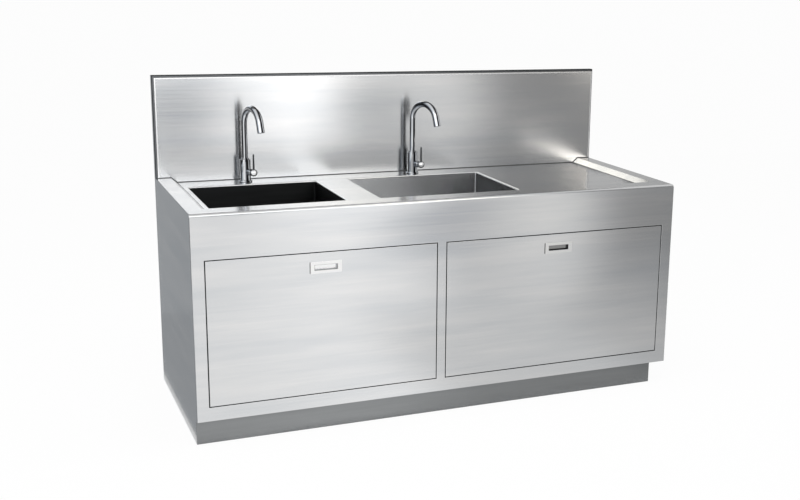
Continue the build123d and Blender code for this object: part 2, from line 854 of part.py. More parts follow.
def hinge_bracket(middle):
    """Fixed half of a hinge: two lugs, a leg behind the door and a foot on the frame."""
    foot_z = -hinge_up - door_gap
    behind = door_thickness - hinge_back + hinge_behind
    end = (middle - hinge_width / 2, middle + hinge_width / 2)
    arm_half = hinge_arm / 2
    lug = Circle(hinge_knuckle) + Pos((behind + hinge_arm) / 2, 0) * Rectangle(behind + hinge_arm, hinge_arm)
    lug -= Circle(hinge_pin + hinge_pin_play)
    leg = Polyline(
        (behind, foot_z),
        (opening_return - hinge_back, foot_z),
        (opening_return - hinge_back, foot_z + hinge_plate),
        (behind + hinge_arm, foot_z + hinge_plate),
        (behind + hinge_arm, arm_half),
        (behind, arm_half),
        close=True,
    )
    body = hinge_extrusion(make_face(leg), end)
    body += hinge_extrusion(lug, (end[0], end[0] + hinge_lug))
    body += hinge_extrusion(lug, (end[1] - hinge_lug, end[1]))
    return body


def hinge_leaf(middle):
    """Moving half of a hinge: one knuckle on a plate inside the door."""
    side = hinge_width / 2 - hinge_lug - hinge_side_gap
    liner_y = door_thickness - door_sheet - hinge_back
    plate_foot = liner_y - hinge_plate
    plate_low = hinge_notch_rise + hinge_plate
    arm = Polyline(
        (-hinge_knuckle / 2, hinge_knuckle * 0.7),
        (hinge_knuckle * 0.9, 0),
        (liner_y, plate_low),
        (liner_y, hinge_leaf_height),
        (plate_foot, hinge_leaf_height),
        (plate_foot, plate_low + hinge_plate),
        close=True,
    )
    section = Circle(hinge_knuckle) + make_face(arm) - Circle(hinge_pin + hinge_pin_play)
    return hinge_extrusion(section, (middle - side, middle + side))


def hinge_pin_bar(middle):
    """Hinge pin."""
    end = (middle - hinge_width / 2, middle + hinge_width / 2)
    return hinge_extrusion(Circle(hinge_pin), end)


def door_limits(opening_x):
    """A door's limits inside its opening."""
    x = grown(opening_x, -door_gap)
    z = grown(opening_z, -door_gap)
    return x, z


def hinge_notches(opening_x):
    """Cut-outs in a door's bottom return and liner for the fixed hinge arms."""
    reach = hinge_width / 2 + hinge_notch_side
    back = (front + door_thickness - 2 * door_sheet, front + door_thickness + 1)
    cutters = []
    for middle in hinge_places(opening_x):
        x = (middle - reach, middle + reach)
        low = (opening_z[0], hinge_z - hinge_up + 2 * door_sheet)
        cutters.append(block(x, (front + door_sheet, back[1]), low))
        cutters.append(block(x, back, (opening_z[0], hinge_z + hinge_notch_rise)))
    return cutters


def make_door_skin(opening_x):
    """Outer door pan: front sheet with returns on all four sides."""
    x, z = door_limits(opening_x)
    liner_y = front + door_thickness - door_sheet
    pan = block(x, (front, liner_y), z)
    pan = fillet(pan.faces().sort_by(Axis.Y)[0].edges(), door_bend)
    pan -= block(grown(x, -door_sheet), (front + door_sheet, liner_y + 1), grown(z, -door_sheet))
    grow = 2 * recess_wall + 1
    cut = RectangleRounded(recess_width + grow, recess_height + grow, recess_corner + recess_wall)
    behind = Plane.XZ.offset(-front - 2 * door_sheet) * pull_centre(opening_x)
    pan -= extrude(behind * cut, amount=4 * door_sheet)
    return pan - hinge_notches(opening_x)


def make_door_liner(opening_x):
    """Inner sheet that closes the back of the door."""
    x, z = door_limits(opening_x)
    y = (front + door_thickness - door_sheet, front + door_thickness)
    return block(x, y, z) - hinge_notches(opening_x)


def pull_centre(opening_x):
    """Place of the pull's middle on the door, as X and Z."""
    top = opening_z[1] - door_gap
    return Pos(sum(opening_x) / 2, top - pull_drop - pull_height / 2)


def make_pull(opening_x):
    """Flush pull: a rounded plate round a tapered finger cup."""
    centre = pull_centre(opening_x)
    face = front - pull_proud
    plan = RectangleRounded(pull_width, pull_height, pull_corner)
    body = extrude(Plane.XZ.offset(-front) * centre * plan, amount=pull_proud)
    body = fillet(body.faces().sort_by(Axis.Y)[0].edges(), pull_edge)

    def cup(grow, y_mouth, y_floor):
        mouth = RectangleRounded(recess_width + 2 * grow, recess_height + 2 * grow, recess_corner + grow)
        side = 2 * (grow - recess_taper)
        floor = RectangleRounded(recess_width + side, recess_height + side, recess_corner + grow)
        sections = [Plane.XZ.offset(-y_mouth) * centre * mouth, Plane.XZ.offset(-y_floor) * centre * floor]
        return loft(sections, ruled=True)

    body += cup(recess_wall, front, face + recess_depth + recess_wall)
    mouth_cut = RectangleRounded(recess_width, recess_height, recess_corner)
    body -= extrude(Plane.XZ.offset(-front) * centre * mouth_cut, amount=pull_proud + 1)
    return body - cup(0, front, face + recess_depth)


def make_catch(opening_x):
    """Magnetic catch that hangs from the top of the opening's rebate."""
    middle = sum(opening_x) / 2
    x = (middle - catch_width / 2, middle + catch_width / 2)
    y = (front + door_thickness + strike_thickness, front + opening_return)
    body = block(x, y, (opening_z[1] - catch_height, opening_z[1]))
    low_edges = body.edges().filter_by(Axis.Y).sort_by(Axis.Z)[:2]
    return fillet(low_edges, 2)


def make_strike(opening_x):
    """Steel plate on the door's liner that the magnet holds."""
    middle = sum(opening_x) / 2
    top = opening_z[1] - door_gap - strike_drop
    plan = RectangleRounded(catch_width, strike_height, 2)
    place = Plane.XZ.offset(-front - door_thickness - strike_thickness) * Pos(middle, top - strike_height / 2)
    return extrude(place * plan, amount=strike_thickness)


def mixer_frame(mixer_x, angle):
    """Placement of a tap: local +X turned from the front towards the right by angle."""
    return Pos(mixer_x, mixer_y, deck_z) * Rot(0, 0, angle - 90)


def lying_rod(radius, s, z=0.0):
    """A round bar along local +X at a height."""
    return Pos(sum(s) / 2, 0, z) * Rot(0, 90, 0) * Cylinder(radius, s[1] - s[0])


def make_mixer_body():
    """Tap casting: flange, barrel with a socket for the spout, and the valve branch."""
    base = mixer_washer
    cap = mixer_height - 5
    barrel = turned(
        (0, base),
        (mixer_flange, base),
        (mixer_flange, base + mixer_flange_height - 1.5),
        (mixer_flange - 1.5, base + mixer_flange_height),
        (mixer_radius, base + mixer_flange_height),
        (mixer_radius, cap - 1.5),
        (mixer_radius - mixer_groove, cap - 1.5),
        (mixer_radius - mixer_groove, cap),
        (mixer_radius, cap),
        (mixer_radius, mixer_height - 1),
        (mixer_radius - 1, mixer_height),
        (0, mixer_height),
    )
    branch = lying_rod(branch_radius, (0, branch_reach), branch_height)
    branch_end = branch.faces().sort_by(Axis.X)[-1].edges()
    branch = chamfer(branch_end, 1.2)
    neck = lying_rod(branch_neck_radius, (branch_reach - 2, branch_reach + branch_neck), branch_height)
    body = barrel + branch + neck
    body -= rod(spout_radius + running_play, (mixer_height - spout_socket, mixer_height + 1))
    bore = (branch_reach - 24, branch_reach + branch_neck + 1)
    return body - lying_rod(branch_bore + running_play, bore, branch_height)


def make_mixer_washer():
    """Rubber ring under the tap's flange."""
    return ring(mixer_flange - 1, mixer_shank_radius + seat_gap, (0, mixer_washer))


def make_mixer_shank(mixer_x):
    """Threaded shank through the deck, and the two rigid supply tails that end at the wall."""
    shank = rod(mixer_shank_radius, (shank_foot, deck_z + mixer_washer))
    tails = []
    for side, rise in zip((-1, 1), supply_rise):
        y = side * supply_spacing / 2
        shank -= Pos(0, y, 0) * rod(supply_radius + supply_play, (shank_foot - 1, shank_foot + supply_socket))
        tails.append(supply_tail(mixer_y + y, trap_arm_z + rise))
    shank = Pos(mixer_x, mixer_y, 0) * shank
    return [shank] + [Pos(mixer_x, 0, 0) * tail for tail in tails]


def supply_tail(y, outlet_z):
    """A rigid tube down from the shank at a Y, bent to run out level at a height."""
    top = shank_foot + supply_socket - seat_gap
    path = FilletPolyline(
        (0, y, top), (0, y, outlet_z), (0, rear - pipe_end_inset, outlet_z), radius=supply_bend
    )
    start = Plane(origin=(0, y, top), z_dir=(0, 0, -1))
    section = Circle(supply_radius) - Circle(supply_radius - supply_wall)
    return sweep(start * section, path=path)


def make_mixer_nut():
    """Backing nut on the shank, under the deck board."""
    top = board_bottom - deck_z
    washer = ring(mixer_nut_radius + 4, mixer_shank_radius + seat_gap, (top - 2, top))
    hexagon = RegularPolygon(mixer_nut_radius, 6)
    nut = extrude(Pos(0, 0, top - 2 - mixer_nut_height) * hexagon, amount=mixer_nut_height)
    return washer + (nut - rod(mixer_shank_radius + seat_gap, (top - 20, top + 1)))


def make_cartridge():
    """Valve spindle that turns in the branch, with a tongue for the lever's pin."""
    spindle = lying_rod(branch_bore, (branch_reach - 23, branch_reach + branch_neck + 0.5), branch_height)
    neck = Rectangle(dome_reach - branch_reach, 2 * tongue_radius)
    eye = Pos(dome_reach, branch_height)
    plan = Pos((branch_reach + dome_reach) / 2, branch_height) * neck + eye * Circle(tongue_radius)
    plan -= eye * Circle(lever_pin + running_play)
    tongue = extrude(Plane.XZ.offset(-tongue_thickness / 2) * plan, amount=tongue_thickness)
    return spindle + tongue


def make_lever():
    """Hollow dome with a cross pin, and the slim lever that rises from it."""
    centre = Pos(dome_reach, 0, branch_height)
    inner = dome_radius - dome_wall
    dome = Sphere(dome_radius) - Sphere(inner)
    past = grown((0, 0), 2 * dome_radius)
    dome -= block((-2 * dome_radius, -dome_cut), past, past)
    pin = Rot(90, 0, 0) * Cylinder(lever_pin, 2 * inner + dome_wall)
    foot = dome_radius - dome_wall / 2
    arm = turned(
        (0, foot - 0.4),
        (lever_foot_radius, foot - 0.4),
        (lever_foot_radius, foot + 6),
        (lever_tip_radius, lever_length - 3),
        (lever_tip_radius * 0.8, lever_length - 1),
        (0, lever_length),
    )
    return centre * (dome + pin + arm)


def spout_section(step):
    """Circle round the spout's bend at one step, wider towards the mouth."""
    share = step / spout_steps
    turn = radians(spout_sweep * share)
    place = Plane(
        origin=(
            spout_bend_radius * (1 - cos(turn)),
            0,
            spout_bend_height + spout_bend_radius * sin(turn),
        ),
        x_dir=(0, 1, 0),
        z_dir=(sin(turn), 0, cos(turn)),
    )
    return place * Circle(spout_radius + (spout_mouth_radius - spout_radius) * share)


def mouth_plane(along):
    """Plane square to the outlet, at a distance past the end of the bend."""
    turn = radians(spout_sweep)
    end = (spout_bend_radius * (1 - cos(turn)), spout_bend_height + spout_bend_radius * sin(turn))
    way = (sin(turn), cos(turn))
    origin = (end[0] + along * way[0], 0, end[1] + along * way[1])
    return Plane(origin=origin, x_dir=(0, 1, 0), z_dir=(way[0], 0, way[1]))


def make_spout():
    """Swivelling gooseneck: a straight riser, a bend that widens, and the outlet."""
    low = mixer_height - spout_socket + 1
    riser = rod(spout_radius, (low, spout_bend_height))
    bend = loft([spout_section(step) for step in range(spout_steps + 1)])
    outlet = extrude(mouth_plane(0) * Circle(spout_mouth_radius), amount=spout_outlet)
    outlet = fillet(outlet.faces().sort_by(Axis.Z)[0].edges(), 1.5)
    collar_z = mixer_height + seat_gap
    collar = turned(
        (spout_radius - 1, collar_z),
        (spout_collar_radius, collar_z),
        (spout_collar_radius, collar_z + spout_collar_height - 1.5),
        (spout_collar_radius - 1.5, collar_z + spout_collar_height),
        (spout_radius - 1, collar_z + spout_collar_height),
    )
    depth_in = aerator_length + aerator_recess + seat_gap
    mouth = extrude(
        mouth_plane(spout_outlet - depth_in) * Circle(aerator_radius + running_play), amount=depth_in + 1
    )
    return riser + bend + outlet + collar - mouth


def make_aerator():
    """Insert in the spout's mouth, with a ring of jets round a middle one."""
    start = spout_outlet - aerator_recess - aerator_length
    body = extrude(mouth_plane(start) * Circle(aerator_radius), amount=aerator_length)
    jets = [mouth_plane(spout_outlet - aerator_recess - 4) * Circle(aerator_hole_radius)]
    for n in range(aerator_holes):
        spot = Rot(0, 0, 360.0 * n / aerator_holes) * Pos(aerator_radius * 0.55, 0)
        jets.append(mouth_plane(spout_outlet - aerator_recess - 4) * spot * Circle(aerator_hole_radius))
    for jet in jets:
        body -= extrude(jet, amount=5)
    return body


def solids_of(shape):
    """Every solid in a shape, or in a list of shapes."""
    if isinstance(shape, (list, tuple)):
        return [solid for part in shape for solid in solids_of(part)]
    return list(shape.solids())


def save(name, shape):
    """Write one node. Several solids go out as one compound."""
    solids = solids_of(shape)
    export_step(solids[0] if len(solids) == 1 else Compound(solids), f"parts/{name}.step")


def save_side(name, opening_x, drain, mixer_x, spout_angle, bowl):
    """Write the nodes that the left and the right half each have."""
    at_drain = Pos(drain[0], drain[1], 0)
    tap = mixer_frame(mixer_x, branch_angle)
    spout_frame = mixer_frame(mixer_x, spout_angle)
    hinges = hinge_places(opening_x)
    save(f"{name}_bowl", make_bowl(*bowl))
    save(f"{name}_waste", at_drain * make_waste())
    save(f"{name}_waste_nut", at_drain * make_waste_nut())
    save(f"{name}_basket", at_drain * make_basket())
    save(f"{name}_tailpiece", at_drain * make_tailpiece())
    save(f"{name}_trap", at_drain * make_trap())
    save(f"{name}_trap_cup", at_drain * make_trap_cup())
    save(f"{name}_waste_pipe", make_waste_pipe(drain))
    save(f"{name}_hinge_brackets", [hinge_bracket(x) for x in hinges])
    save(f"{name}_hinge_pins", [hinge_pin_bar(x) for x in hinges])
    save(f"{name}_hinge_leaves", [hinge_leaf(x) for x in hinges])
    save(f"{name}_door_skin", make_door_skin(opening_x))
    save(f"{name}_door_liner", make_door_liner(opening_x))
    save(f"{name}_pull", make_pull(opening_x))
    save(f"{name}_strike", make_strike(opening_x))
    save(f"{name}_mixer_body", tap * make_mixer_body())
    save(f"{name}_mixer_shank", make_mixer_shank(mixer_x))
    save(f"{name}_cartridge", tap * make_cartridge())
    save(f"{name}_lever", tap * make_lever())
    save(f"{name}_spout", spout_frame * make_spout())
    save(f"{name}_aerator", spout_frame * make_aerator())


def main():
    os.makedirs("parts", exist_ok=True)
    save("worktop", make_worktop())
    save("deck_board", make_deck_board())
    save("splashback", make_splashback())
    save("splashback_back", make_splashback_back())
    save("splashback_ribs", make_splashback_ribs())
    save("face_frame", make_face_frame())
    save("left_side_panel", make_side_panel(-1, 0))
    save("right_side_panel", make_side_panel(1, plinth_height))
    save("back_panel", make_back_panel())
    save("frame_posts", make_frame_posts())
    save("frame_rails", make_frame_rails())
    save("bottom_shelf", make_bottom_shelf())
    save("plinth", make_plinth())
    save("levelling_feet", make_levelling_feet())
    save("door_catches", [make_catch(left_opening_x), make_catch(right_opening_x)])
    drains = (left_drain, right_drain)
    save("waste_gaskets", [Pos(x, y, 0) * make_gasket() for x, y in drains])
    taps = (left_mixer_x, right_mixer_x)
    save("mixer_washers", [mixer_frame(x, 0) * make_mixer_washer() for x in taps])
    save("mixer_nuts", [mixer_frame(x, 0) * make_mixer_nut() for x in taps])
    bowls = ((left_bowl_x, left_bowl_y), (right_bowl_x, right_bowl_y))
    save_side("left", left_opening_x, left_drain, left_mixer_x, left_spout_angle, bowls[0])
    save_side("right", right_opening_x, right_drain, right_mixer_x, right_spout_angle, bowls[1])


main()
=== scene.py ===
import json
import math

import bpy
import numpy as np
from mathutils import Matrix, Vector


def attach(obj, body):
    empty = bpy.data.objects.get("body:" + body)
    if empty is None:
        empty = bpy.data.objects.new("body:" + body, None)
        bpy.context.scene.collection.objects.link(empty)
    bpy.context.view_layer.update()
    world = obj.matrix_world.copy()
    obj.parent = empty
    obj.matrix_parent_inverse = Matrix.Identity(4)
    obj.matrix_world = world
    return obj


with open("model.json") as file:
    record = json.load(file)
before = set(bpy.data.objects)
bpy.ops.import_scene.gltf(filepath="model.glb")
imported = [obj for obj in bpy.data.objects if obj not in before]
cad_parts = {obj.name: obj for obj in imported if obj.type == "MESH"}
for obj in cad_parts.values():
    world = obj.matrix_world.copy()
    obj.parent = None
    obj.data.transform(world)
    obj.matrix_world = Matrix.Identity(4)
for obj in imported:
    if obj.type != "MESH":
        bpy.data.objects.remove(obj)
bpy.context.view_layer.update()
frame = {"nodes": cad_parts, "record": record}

# The camera that was fitted to the photograph's edges: metres, degrees, and pixels of an 800 wide frame
photo_width = 800.0
camera_place = (-1.521, -4.058, 1.564)
camera_yaw, camera_pitch, camera_roll = 24.91, 13.52, 1.43
lens_px = 1177.0
shift_px = -105.0
sensor_mm = 36.0

# Places and sizes of the CAD model, in metres
front_y = -0.348
pull_face_y = -0.350
pull_cup_depth = 0.011
pull_mid_z = 0.5735
pull_half_width = 0.056
left_pull_x, right_pull_x = -0.5125, 0.3605
pull_mouth_half_width = 0.0395
pull_mouth_half_height = 0.009
half_width = 0.9
top_z = 1.155
rim_z = 0.78
deck_z = 0.762
deck_half = 0.823
deck_front_y = -0.248
slope_run = 0.022
splash_face_y = 0.328
knob_top_z = 0.8125
left_mouth = ((-0.803, -0.191), (-0.331, 0.22))
right_mouth = ((-0.205, -0.176), (0.333, 0.226))

# Painted shade darkens the door gaps around this depth behind the fronts, but not the frame's outer ends
gap_shade_depth = 0.009
gap_shade_reach = (0.0072, 0.0080)
frame_end = 0.015
# The splashback's rolled edge, over whose width its painted reflection bands run, and the share of its width
# that it has at the right end
edge_width = 0.014
right_edge_share = 0.3
# The beads end this far from the rim and the cabinet's sides
bead_gap = 0.001
# The belt-brushed sheet that most of the object is made of
sheet_tones = ("#D8DADC", "#E5E5E5")
sheet_roughness = 0.20
# The screens in front: their left end, width and place along Y, the height where the low one meets
# the high one, and how far the high one rises from there
screen_left, screen_width, screen_y = -3.0, 7.0, -1.5
screen_seam_z, screen_rise = 1.02, 1.4
# Cards lie this far over the deck and over the rim
over_deck, over_rim = 0.0005, 0.0035
# The floor reaches this far each way. To the camera this share of its tone is a white glow
floor_reach = 60.0
floor_white_share = 0.95
# The world's strength: its white, what it casts on the object, and what mirrors see low down and
# overhead, which changes over as the Z of the way looked in goes from the first to the second
world_white, world_fill = 1.0, 0.62
mirror_low, mirror_overhead = 1.05, 0.7
mirror_rise = (0.5, 0.85)


def linear(code):
    """An sRGB hex value as linear RGBA."""
    parts = [int(code[i : i + 2], 16) / 255 for i in (1, 3, 5)]
    return tuple(c / 12.92 if c <= 0.04045 else ((c + 0.055) / 1.055) ** 2.4 for c in parts) + (1.0,)


def add(tree, kind, settings=None, links=None):
    """Adds a node. Settings are its own properties or values of its inputs, links feed its inputs."""
    made = tree.nodes.new(kind)
    for key, value in (settings or {}).items():
        if isinstance(key, str) and hasattr(made, key):
            setattr(made, key, value)
        else:
            made.inputs[key].default_value = value
    for key, source in (links or {}).items():
        tree.links.new(source, made.inputs[key])
    return made


def fill_ramp(ramp, stops):
    """Gives a colour ramp its stops: shares from 0 to 1, each with a linear RGBA colour."""
    band = ramp.color_ramp.elements
    while len(band) < len(stops):
        band.new(0.5)
    for element, (share, colour) in zip(band, stops):
        element.position = share
        element.color = colour


def empty_material(name):
    """A node material with no nodes yet."""
    material = bpy.data.materials.new(name)
    material.use_nodes = True
    tree = material.node_tree
    tree.nodes.clear()
    return material, tree


def new_material(name):
    """A node material with only its Principled shader, joined to its output."""
    material, tree = empty_material(name)
    shader = add(tree, "ShaderNodeBsdfPrincipled")
    add(tree, "ShaderNodeOutputMaterial", links={"Surface": shader.outputs["BSDF"]})
    return material, tree, shader


def along_the_brushing(tree, along_per_m, across_per_m):
    """Object coordinates laid along the brushing of whichever sheet a point is on.

    The belt ran level: along X on fronts and tops, and along Y on the two ends.
    """
    place = add(tree, "ShaderNodeTexCoord")
    spot = add(tree, "ShaderNodeSeparateXYZ", links={"Vector": place.outputs["Object"]})
    facing = add(tree, "ShaderNodeSeparateXYZ", links={"Vector": place.outputs["Normal"]})
    end_share = add(tree, "ShaderNodeMath", {"operation": "ABSOLUTE"}, {0: facing.outputs["X"]})
    top_share = add(tree, "ShaderNodeMath", {"operation": "ABSOLUTE"}, {0: facing.outputs["Z"]})
    on_end = add(tree, "ShaderNodeMath", {"operation": "GREATER_THAN", 1: 0.7}, {0: end_share.outputs[0]})
    on_top = add(tree, "ShaderNodeMath", {"operation": "GREATER_THAN", 1: 0.6}, {0: top_share.outputs[0]})
    along = add(
        tree,
        "ShaderNodeMix",
        links={"Factor": on_end.outputs[0], "A": spot.outputs["X"], "B": spot.outputs["Y"]},
    )
    across = add(
        tree,
        "ShaderNodeMix",
        links={"Factor": on_top.outputs[0], "A": spot.outputs["Z"], "B": spot.outputs["Y"]},
    )
    laid = add(
        tree,
        "ShaderNodeCombineXYZ",
        links={"X": along.outputs["Result"], "Y": across.outputs["Result"]},
    )
    sized = add(
        tree,
        "ShaderNodeVectorMath",
        {"operation": "MULTIPLY", 1: (along_per_m, across_per_m, 1.0)},
        {0: laid.outputs["Vector"]},
    )
    return sized.outputs["Vector"]


def brushed_stainless(name, dark, light, roughness, streak=0.012, wave=0.12, clouding=0.8, drawn=0.6):
    """Stainless sheet, fine belt-brushed: faint hairlines, soft clouding and slightly wavy sheet.

    The real hairlines are about 0.1 mm wide, too fine to show from here, so they are drawn
    6 mm wide and 700 mm long at a very low strength.
    """
    material, tree, shader = new_material(name)
    hairline = add(
        tree,
        "ShaderNodeTexNoise",
        {"Scale": 1.0, "Detail": 3.0},
        {"Vector": along_the_brushing(tree, 1.4, 165.0)},
    )
    cloud = add(
        tree,
        "ShaderNodeTexNoise",
        {"Scale": 1.0, "Detail": 3.0},
        {"Vector": along_the_brushing(tree, 1.6, 14.0)},
    )
    mixed = add(
        tree, "ShaderNodeMix", {"Factor": clouding}, {"A": hairline.outputs["Fac"], "B": cloud.outputs["Fac"]}
    )
    tone = add(
        tree,
        "ShaderNodeMapRange",
        {"From Min": 0.35, "From Max": 0.65},
        {"Value": mixed.outputs["Result"]},
    )
    colour = add(
        tree,
        "ShaderNodeMix",
        {"data_type": "RGBA", "A": linear(dark), "B": linear(light)},
        {"Factor": tone.outputs["Result"]},
    )
    tree.links.new(colour.outputs["Result"], shader.inputs["Base Color"])
    rough = add(
        tree,
        "ShaderNodeMapRange",
        {"From Min": 0.3, "From Max": 0.7, "To Min": roughness - streak, "To Max": roughness + streak},
        {"Value": hairline.outputs["Fac"]},
    )
    tree.links.new(rough.outputs["Result"], shader.inputs["Roughness"])
    shader.inputs["Metallic"].default_value = 1.0
    shader.inputs["Anisotropic"].default_value = drawn
    upright = add(tree, "ShaderNodeCombineXYZ", {"X": 0.0, "Y": 0.02, "Z": 1.0})
    tree.links.new(upright.outputs["Vector"], shader.inputs["Tangent"])
    sheet_wave = add(
        tree,
        "ShaderNodeTexNoise",
        {"Scale": 1.0, "Detail": 1.0},
        {"Vector": along_the_brushing(tree, 2.2, 5.0)},
    )
    bump = add(
        tree, "ShaderNodeBump", {"Strength": wave, "Distance": 0.004}, {"Height": sheet_wave.outputs["Fac"]}
    )
    tree.links.new(bump.outputs["Normal"], shader.inputs["Normal"])
    return material


def shade(material, tone, share):
    """Darkens a finish towards a tone, by a share between 0 and 1 that a node gives."""
    tree = material.node_tree
    shader = next(made for made in tree.nodes if made.bl_idname == "ShaderNodeBsdfPrincipled")
    link = shader.inputs["Base Color"].links[0]
    under = link.from_socket
    tree.links.remove(link)
    colour = add(
        tree,
        "ShaderNodeMix",
        {"data_type": "RGBA", "B": linear(tone)},
        {"Factor": share, "A": under},
    )
    tree.links.new(colour.outputs["Result"], shader.inputs["Base Color"])


def worktop_painted_crease_shade():
    """Brushed stainless with a painted shade line in the folds where the slopes meet the deck.

    The line follows the deck's edge. Two distances are taken: how far X lies outside the deck's
    half width, and how far Y lies in front of the deck's front. Where the larger one is within
    1.2 mm of nought the line is full, and by 2.2 mm it has faded out.
    """
    material = brushed_stainless("stainless_worktop_brushed", *sheet_tones, sheet_roughness)
    tree = material.node_tree
    place = add(tree, "ShaderNodeTexCoord")
    spot = add(tree, "ShaderNodeSeparateXYZ", links={"Vector": place.outputs["Object"]})
    wide = add(tree, "ShaderNodeMath", {"operation": "ABSOLUTE"}, {0: spot.outputs["X"]})
    side = add(tree, "ShaderNodeMath", {"operation": "SUBTRACT", 1: deck_half}, {0: wide.outputs[0]})
    ahead = add(tree, "ShaderNodeMath", {"operation": "SUBTRACT", 0: deck_front_y}, {1: spot.outputs["Y"]})
    edge = add(tree, "ShaderNodeMath", {"operation": "MAXIMUM"}, {0: side.outputs[0], 1: ahead.outputs[0]})
    off = add(tree, "ShaderNodeMath", {"operation": "ABSOLUTE"}, {0: edge.outputs[0]})
    line = add(
        tree,
        "ShaderNodeMapRange",
        {"From Min": 0.0012, "From Max": 0.0022, "To Min": 0.88, "To Max": 0.0},
        {"Value": off.outputs[0]},
    )
    # Painted shade: a dark line in the crease where each slope meets the deck
    shade(material, "#2E2F30", line.outputs["Result"])
    return material


def front_painted_gap_shade():
    """Brushed stainless of the fronts, with painted shade in the door gaps, from about 1.5 to 16.5 mm behind
    the face.

    The frame's outer ends, which lie in the cabinet's sides, stay bright.
    """
    material = brushed_stainless("stainless_front_brushed", *sheet_tones, sheet_roughness)
    tree = material.node_tree
    place = add(tree, "ShaderNodeTexCoord")
    spot = add(tree, "ShaderNodeSeparateXYZ", links={"Vector": place.outputs["Object"]})
    depth = add(
        tree,
        "ShaderNodeMath",
        {"operation": "SUBTRACT", 1: front_y + gap_shade_depth},
        {0: spot.outputs["Y"]},
    )
    off = add(tree, "ShaderNodeMath", {"operation": "ABSOLUTE"}, {0: depth.outputs[0]})
    gap_painted_shade = add(
        tree,
        "ShaderNodeMapRange",
        {"From Min": gap_shade_reach[0], "From Max": gap_shade_reach[1], "To Min": 0.97, "To Max": 0.0},
        {"Value": off.outputs[0]},
    )
    wide = add(tree, "ShaderNodeMath", {"operation": "ABSOLUTE"}, {0: spot.outputs["X"]})
    inner = add(
        tree, "ShaderNodeMath", {"operation": "LESS_THAN", 1: half_width - frame_end}, {0: wide.outputs[0]}
    )
    dark = add(
        tree,
        "ShaderNodeMath",
        {"operation": "MULTIPLY"},
        {0: gap_painted_shade.outputs["Result"], 1: inner.outputs[0]},
    )
    # Painted shade: the door gaps are darkened almost to black
    shade(material, "#121314", dark.outputs[0])
    return material


def bowl_painted_reflection():
    """Satin steel of the right bowl, with painted reflections: its right wall is dark grey, and its rear wall
    dulls to the right.

    Both stand for what the photograph's bowl mirrors: they are laid on by facing and by place.
    """
    material = brushed_stainless("stainless_bowl_satin", "#F4F5F7", "#F9FAFB", 0.24)
    tree = material.node_tree
    place = add(tree, "ShaderNodeTexCoord")
    spot = add(tree, "ShaderNodeSeparateXYZ", links={"Vector": place.outputs["Object"]})
    facing = add(tree, "ShaderNodeSeparateXYZ", links={"Vector": place.outputs["Normal"]})
    right = add(
        tree,
        "ShaderNodeMapRange",
        {"From Min": -0.16, "From Max": 0.32, "To Min": 0.0, "To Max": 0.06},
        {"Value": spot.outputs["X"]},
    )
    wall = add(
        tree,
        "ShaderNodeMapRange",
        {"From Min": -0.5, "From Max": -0.9, "To Min": 0.0, "To Max": 0.94},
        {"Value": facing.outputs["X"]},
    )
    painted_reflection_share = add(
        tree,
        "ShaderNodeMath",
        {"operation": "MAXIMUM"},
        {0: right.outputs["Result"], 1: wall.outputs["Result"]},
    )
    # Painted reflection: the right wall, and a little of the bowl's right part, are darkened
    shade(material, "#3E3F41", painted_reflection_share.outputs[0])
    return material


def chrome_painted_reflection():
    """Chromium plate with painted reflections: dark stripes drawn on by the way the surface faces.

    Along a tube the photograph shows a dark edge, a pale stripe, a dark one and a dark edge again,
    and what faces the splashback is dark. What faces straight left or right is pale, so that the
    taps don't turn black in the side views.
    """
    material, tree, shader = new_material("chrome_plate_painted_reflections")
    place = add(tree, "ShaderNodeTexCoord")
    facing = add(tree, "ShaderNodeSeparateXYZ", links={"Vector": place.outputs["Normal"]})
    across = add(
        tree, "ShaderNodeMapRange", {"From Min": -1.0, "From Max": 1.0}, {"Value": facing.outputs["X"]}
    )
    ramp = add(tree, "ShaderNodeValToRGB", links={"Fac": across.outputs["Result"]})
    # Painted reflections: pale and dark stripes, by which way the surface faces
    stripes = [
        (0.0, "#D2D4D7"),
        (0.035, "#2A2B2E"),
        (0.07, "#2A2B2E"),
        (0.15, "#B4BBC4"),
        (0.30, "#F2F3F5"),
        (0.42, "#B8BBC0"),
        (0.49, "#1C1D20"),
        (0.66, "#141517"),
        (0.74, "#E4E6E9"),
        (0.84, "#6A6C70"),
        (0.92, "#1C1D20"),
        (0.95, "#1C1D20"),
        (0.985, "#DDDFE2"),
    ]
    fill_ramp(ramp, [(share, linear(tone)) for share, tone in stripes])
    # Painted shade: what faces the splashback is darkened
    behind = add(
        tree,
        "ShaderNodeMapRange",
        {"From Min": 0.15, "From Max": 0.45, "To Min": 0.0, "To Max": 0.45},
        {"Value": facing.outputs["Y"]},
    )
    colour = add(
        tree,
        "ShaderNodeMix",
        {"data_type": "RGBA", "B": linear("#1E1F22")},
        {"Factor": behind.outputs["Result"], "A": ramp.outputs["Color"]},
    )
    tree.links.new(colour.outputs["Result"], shader.inputs["Base Color"])
    shader.inputs["Metallic"].default_value = 1.0
    shader.inputs["Roughness"].default_value = 0.08
    return material


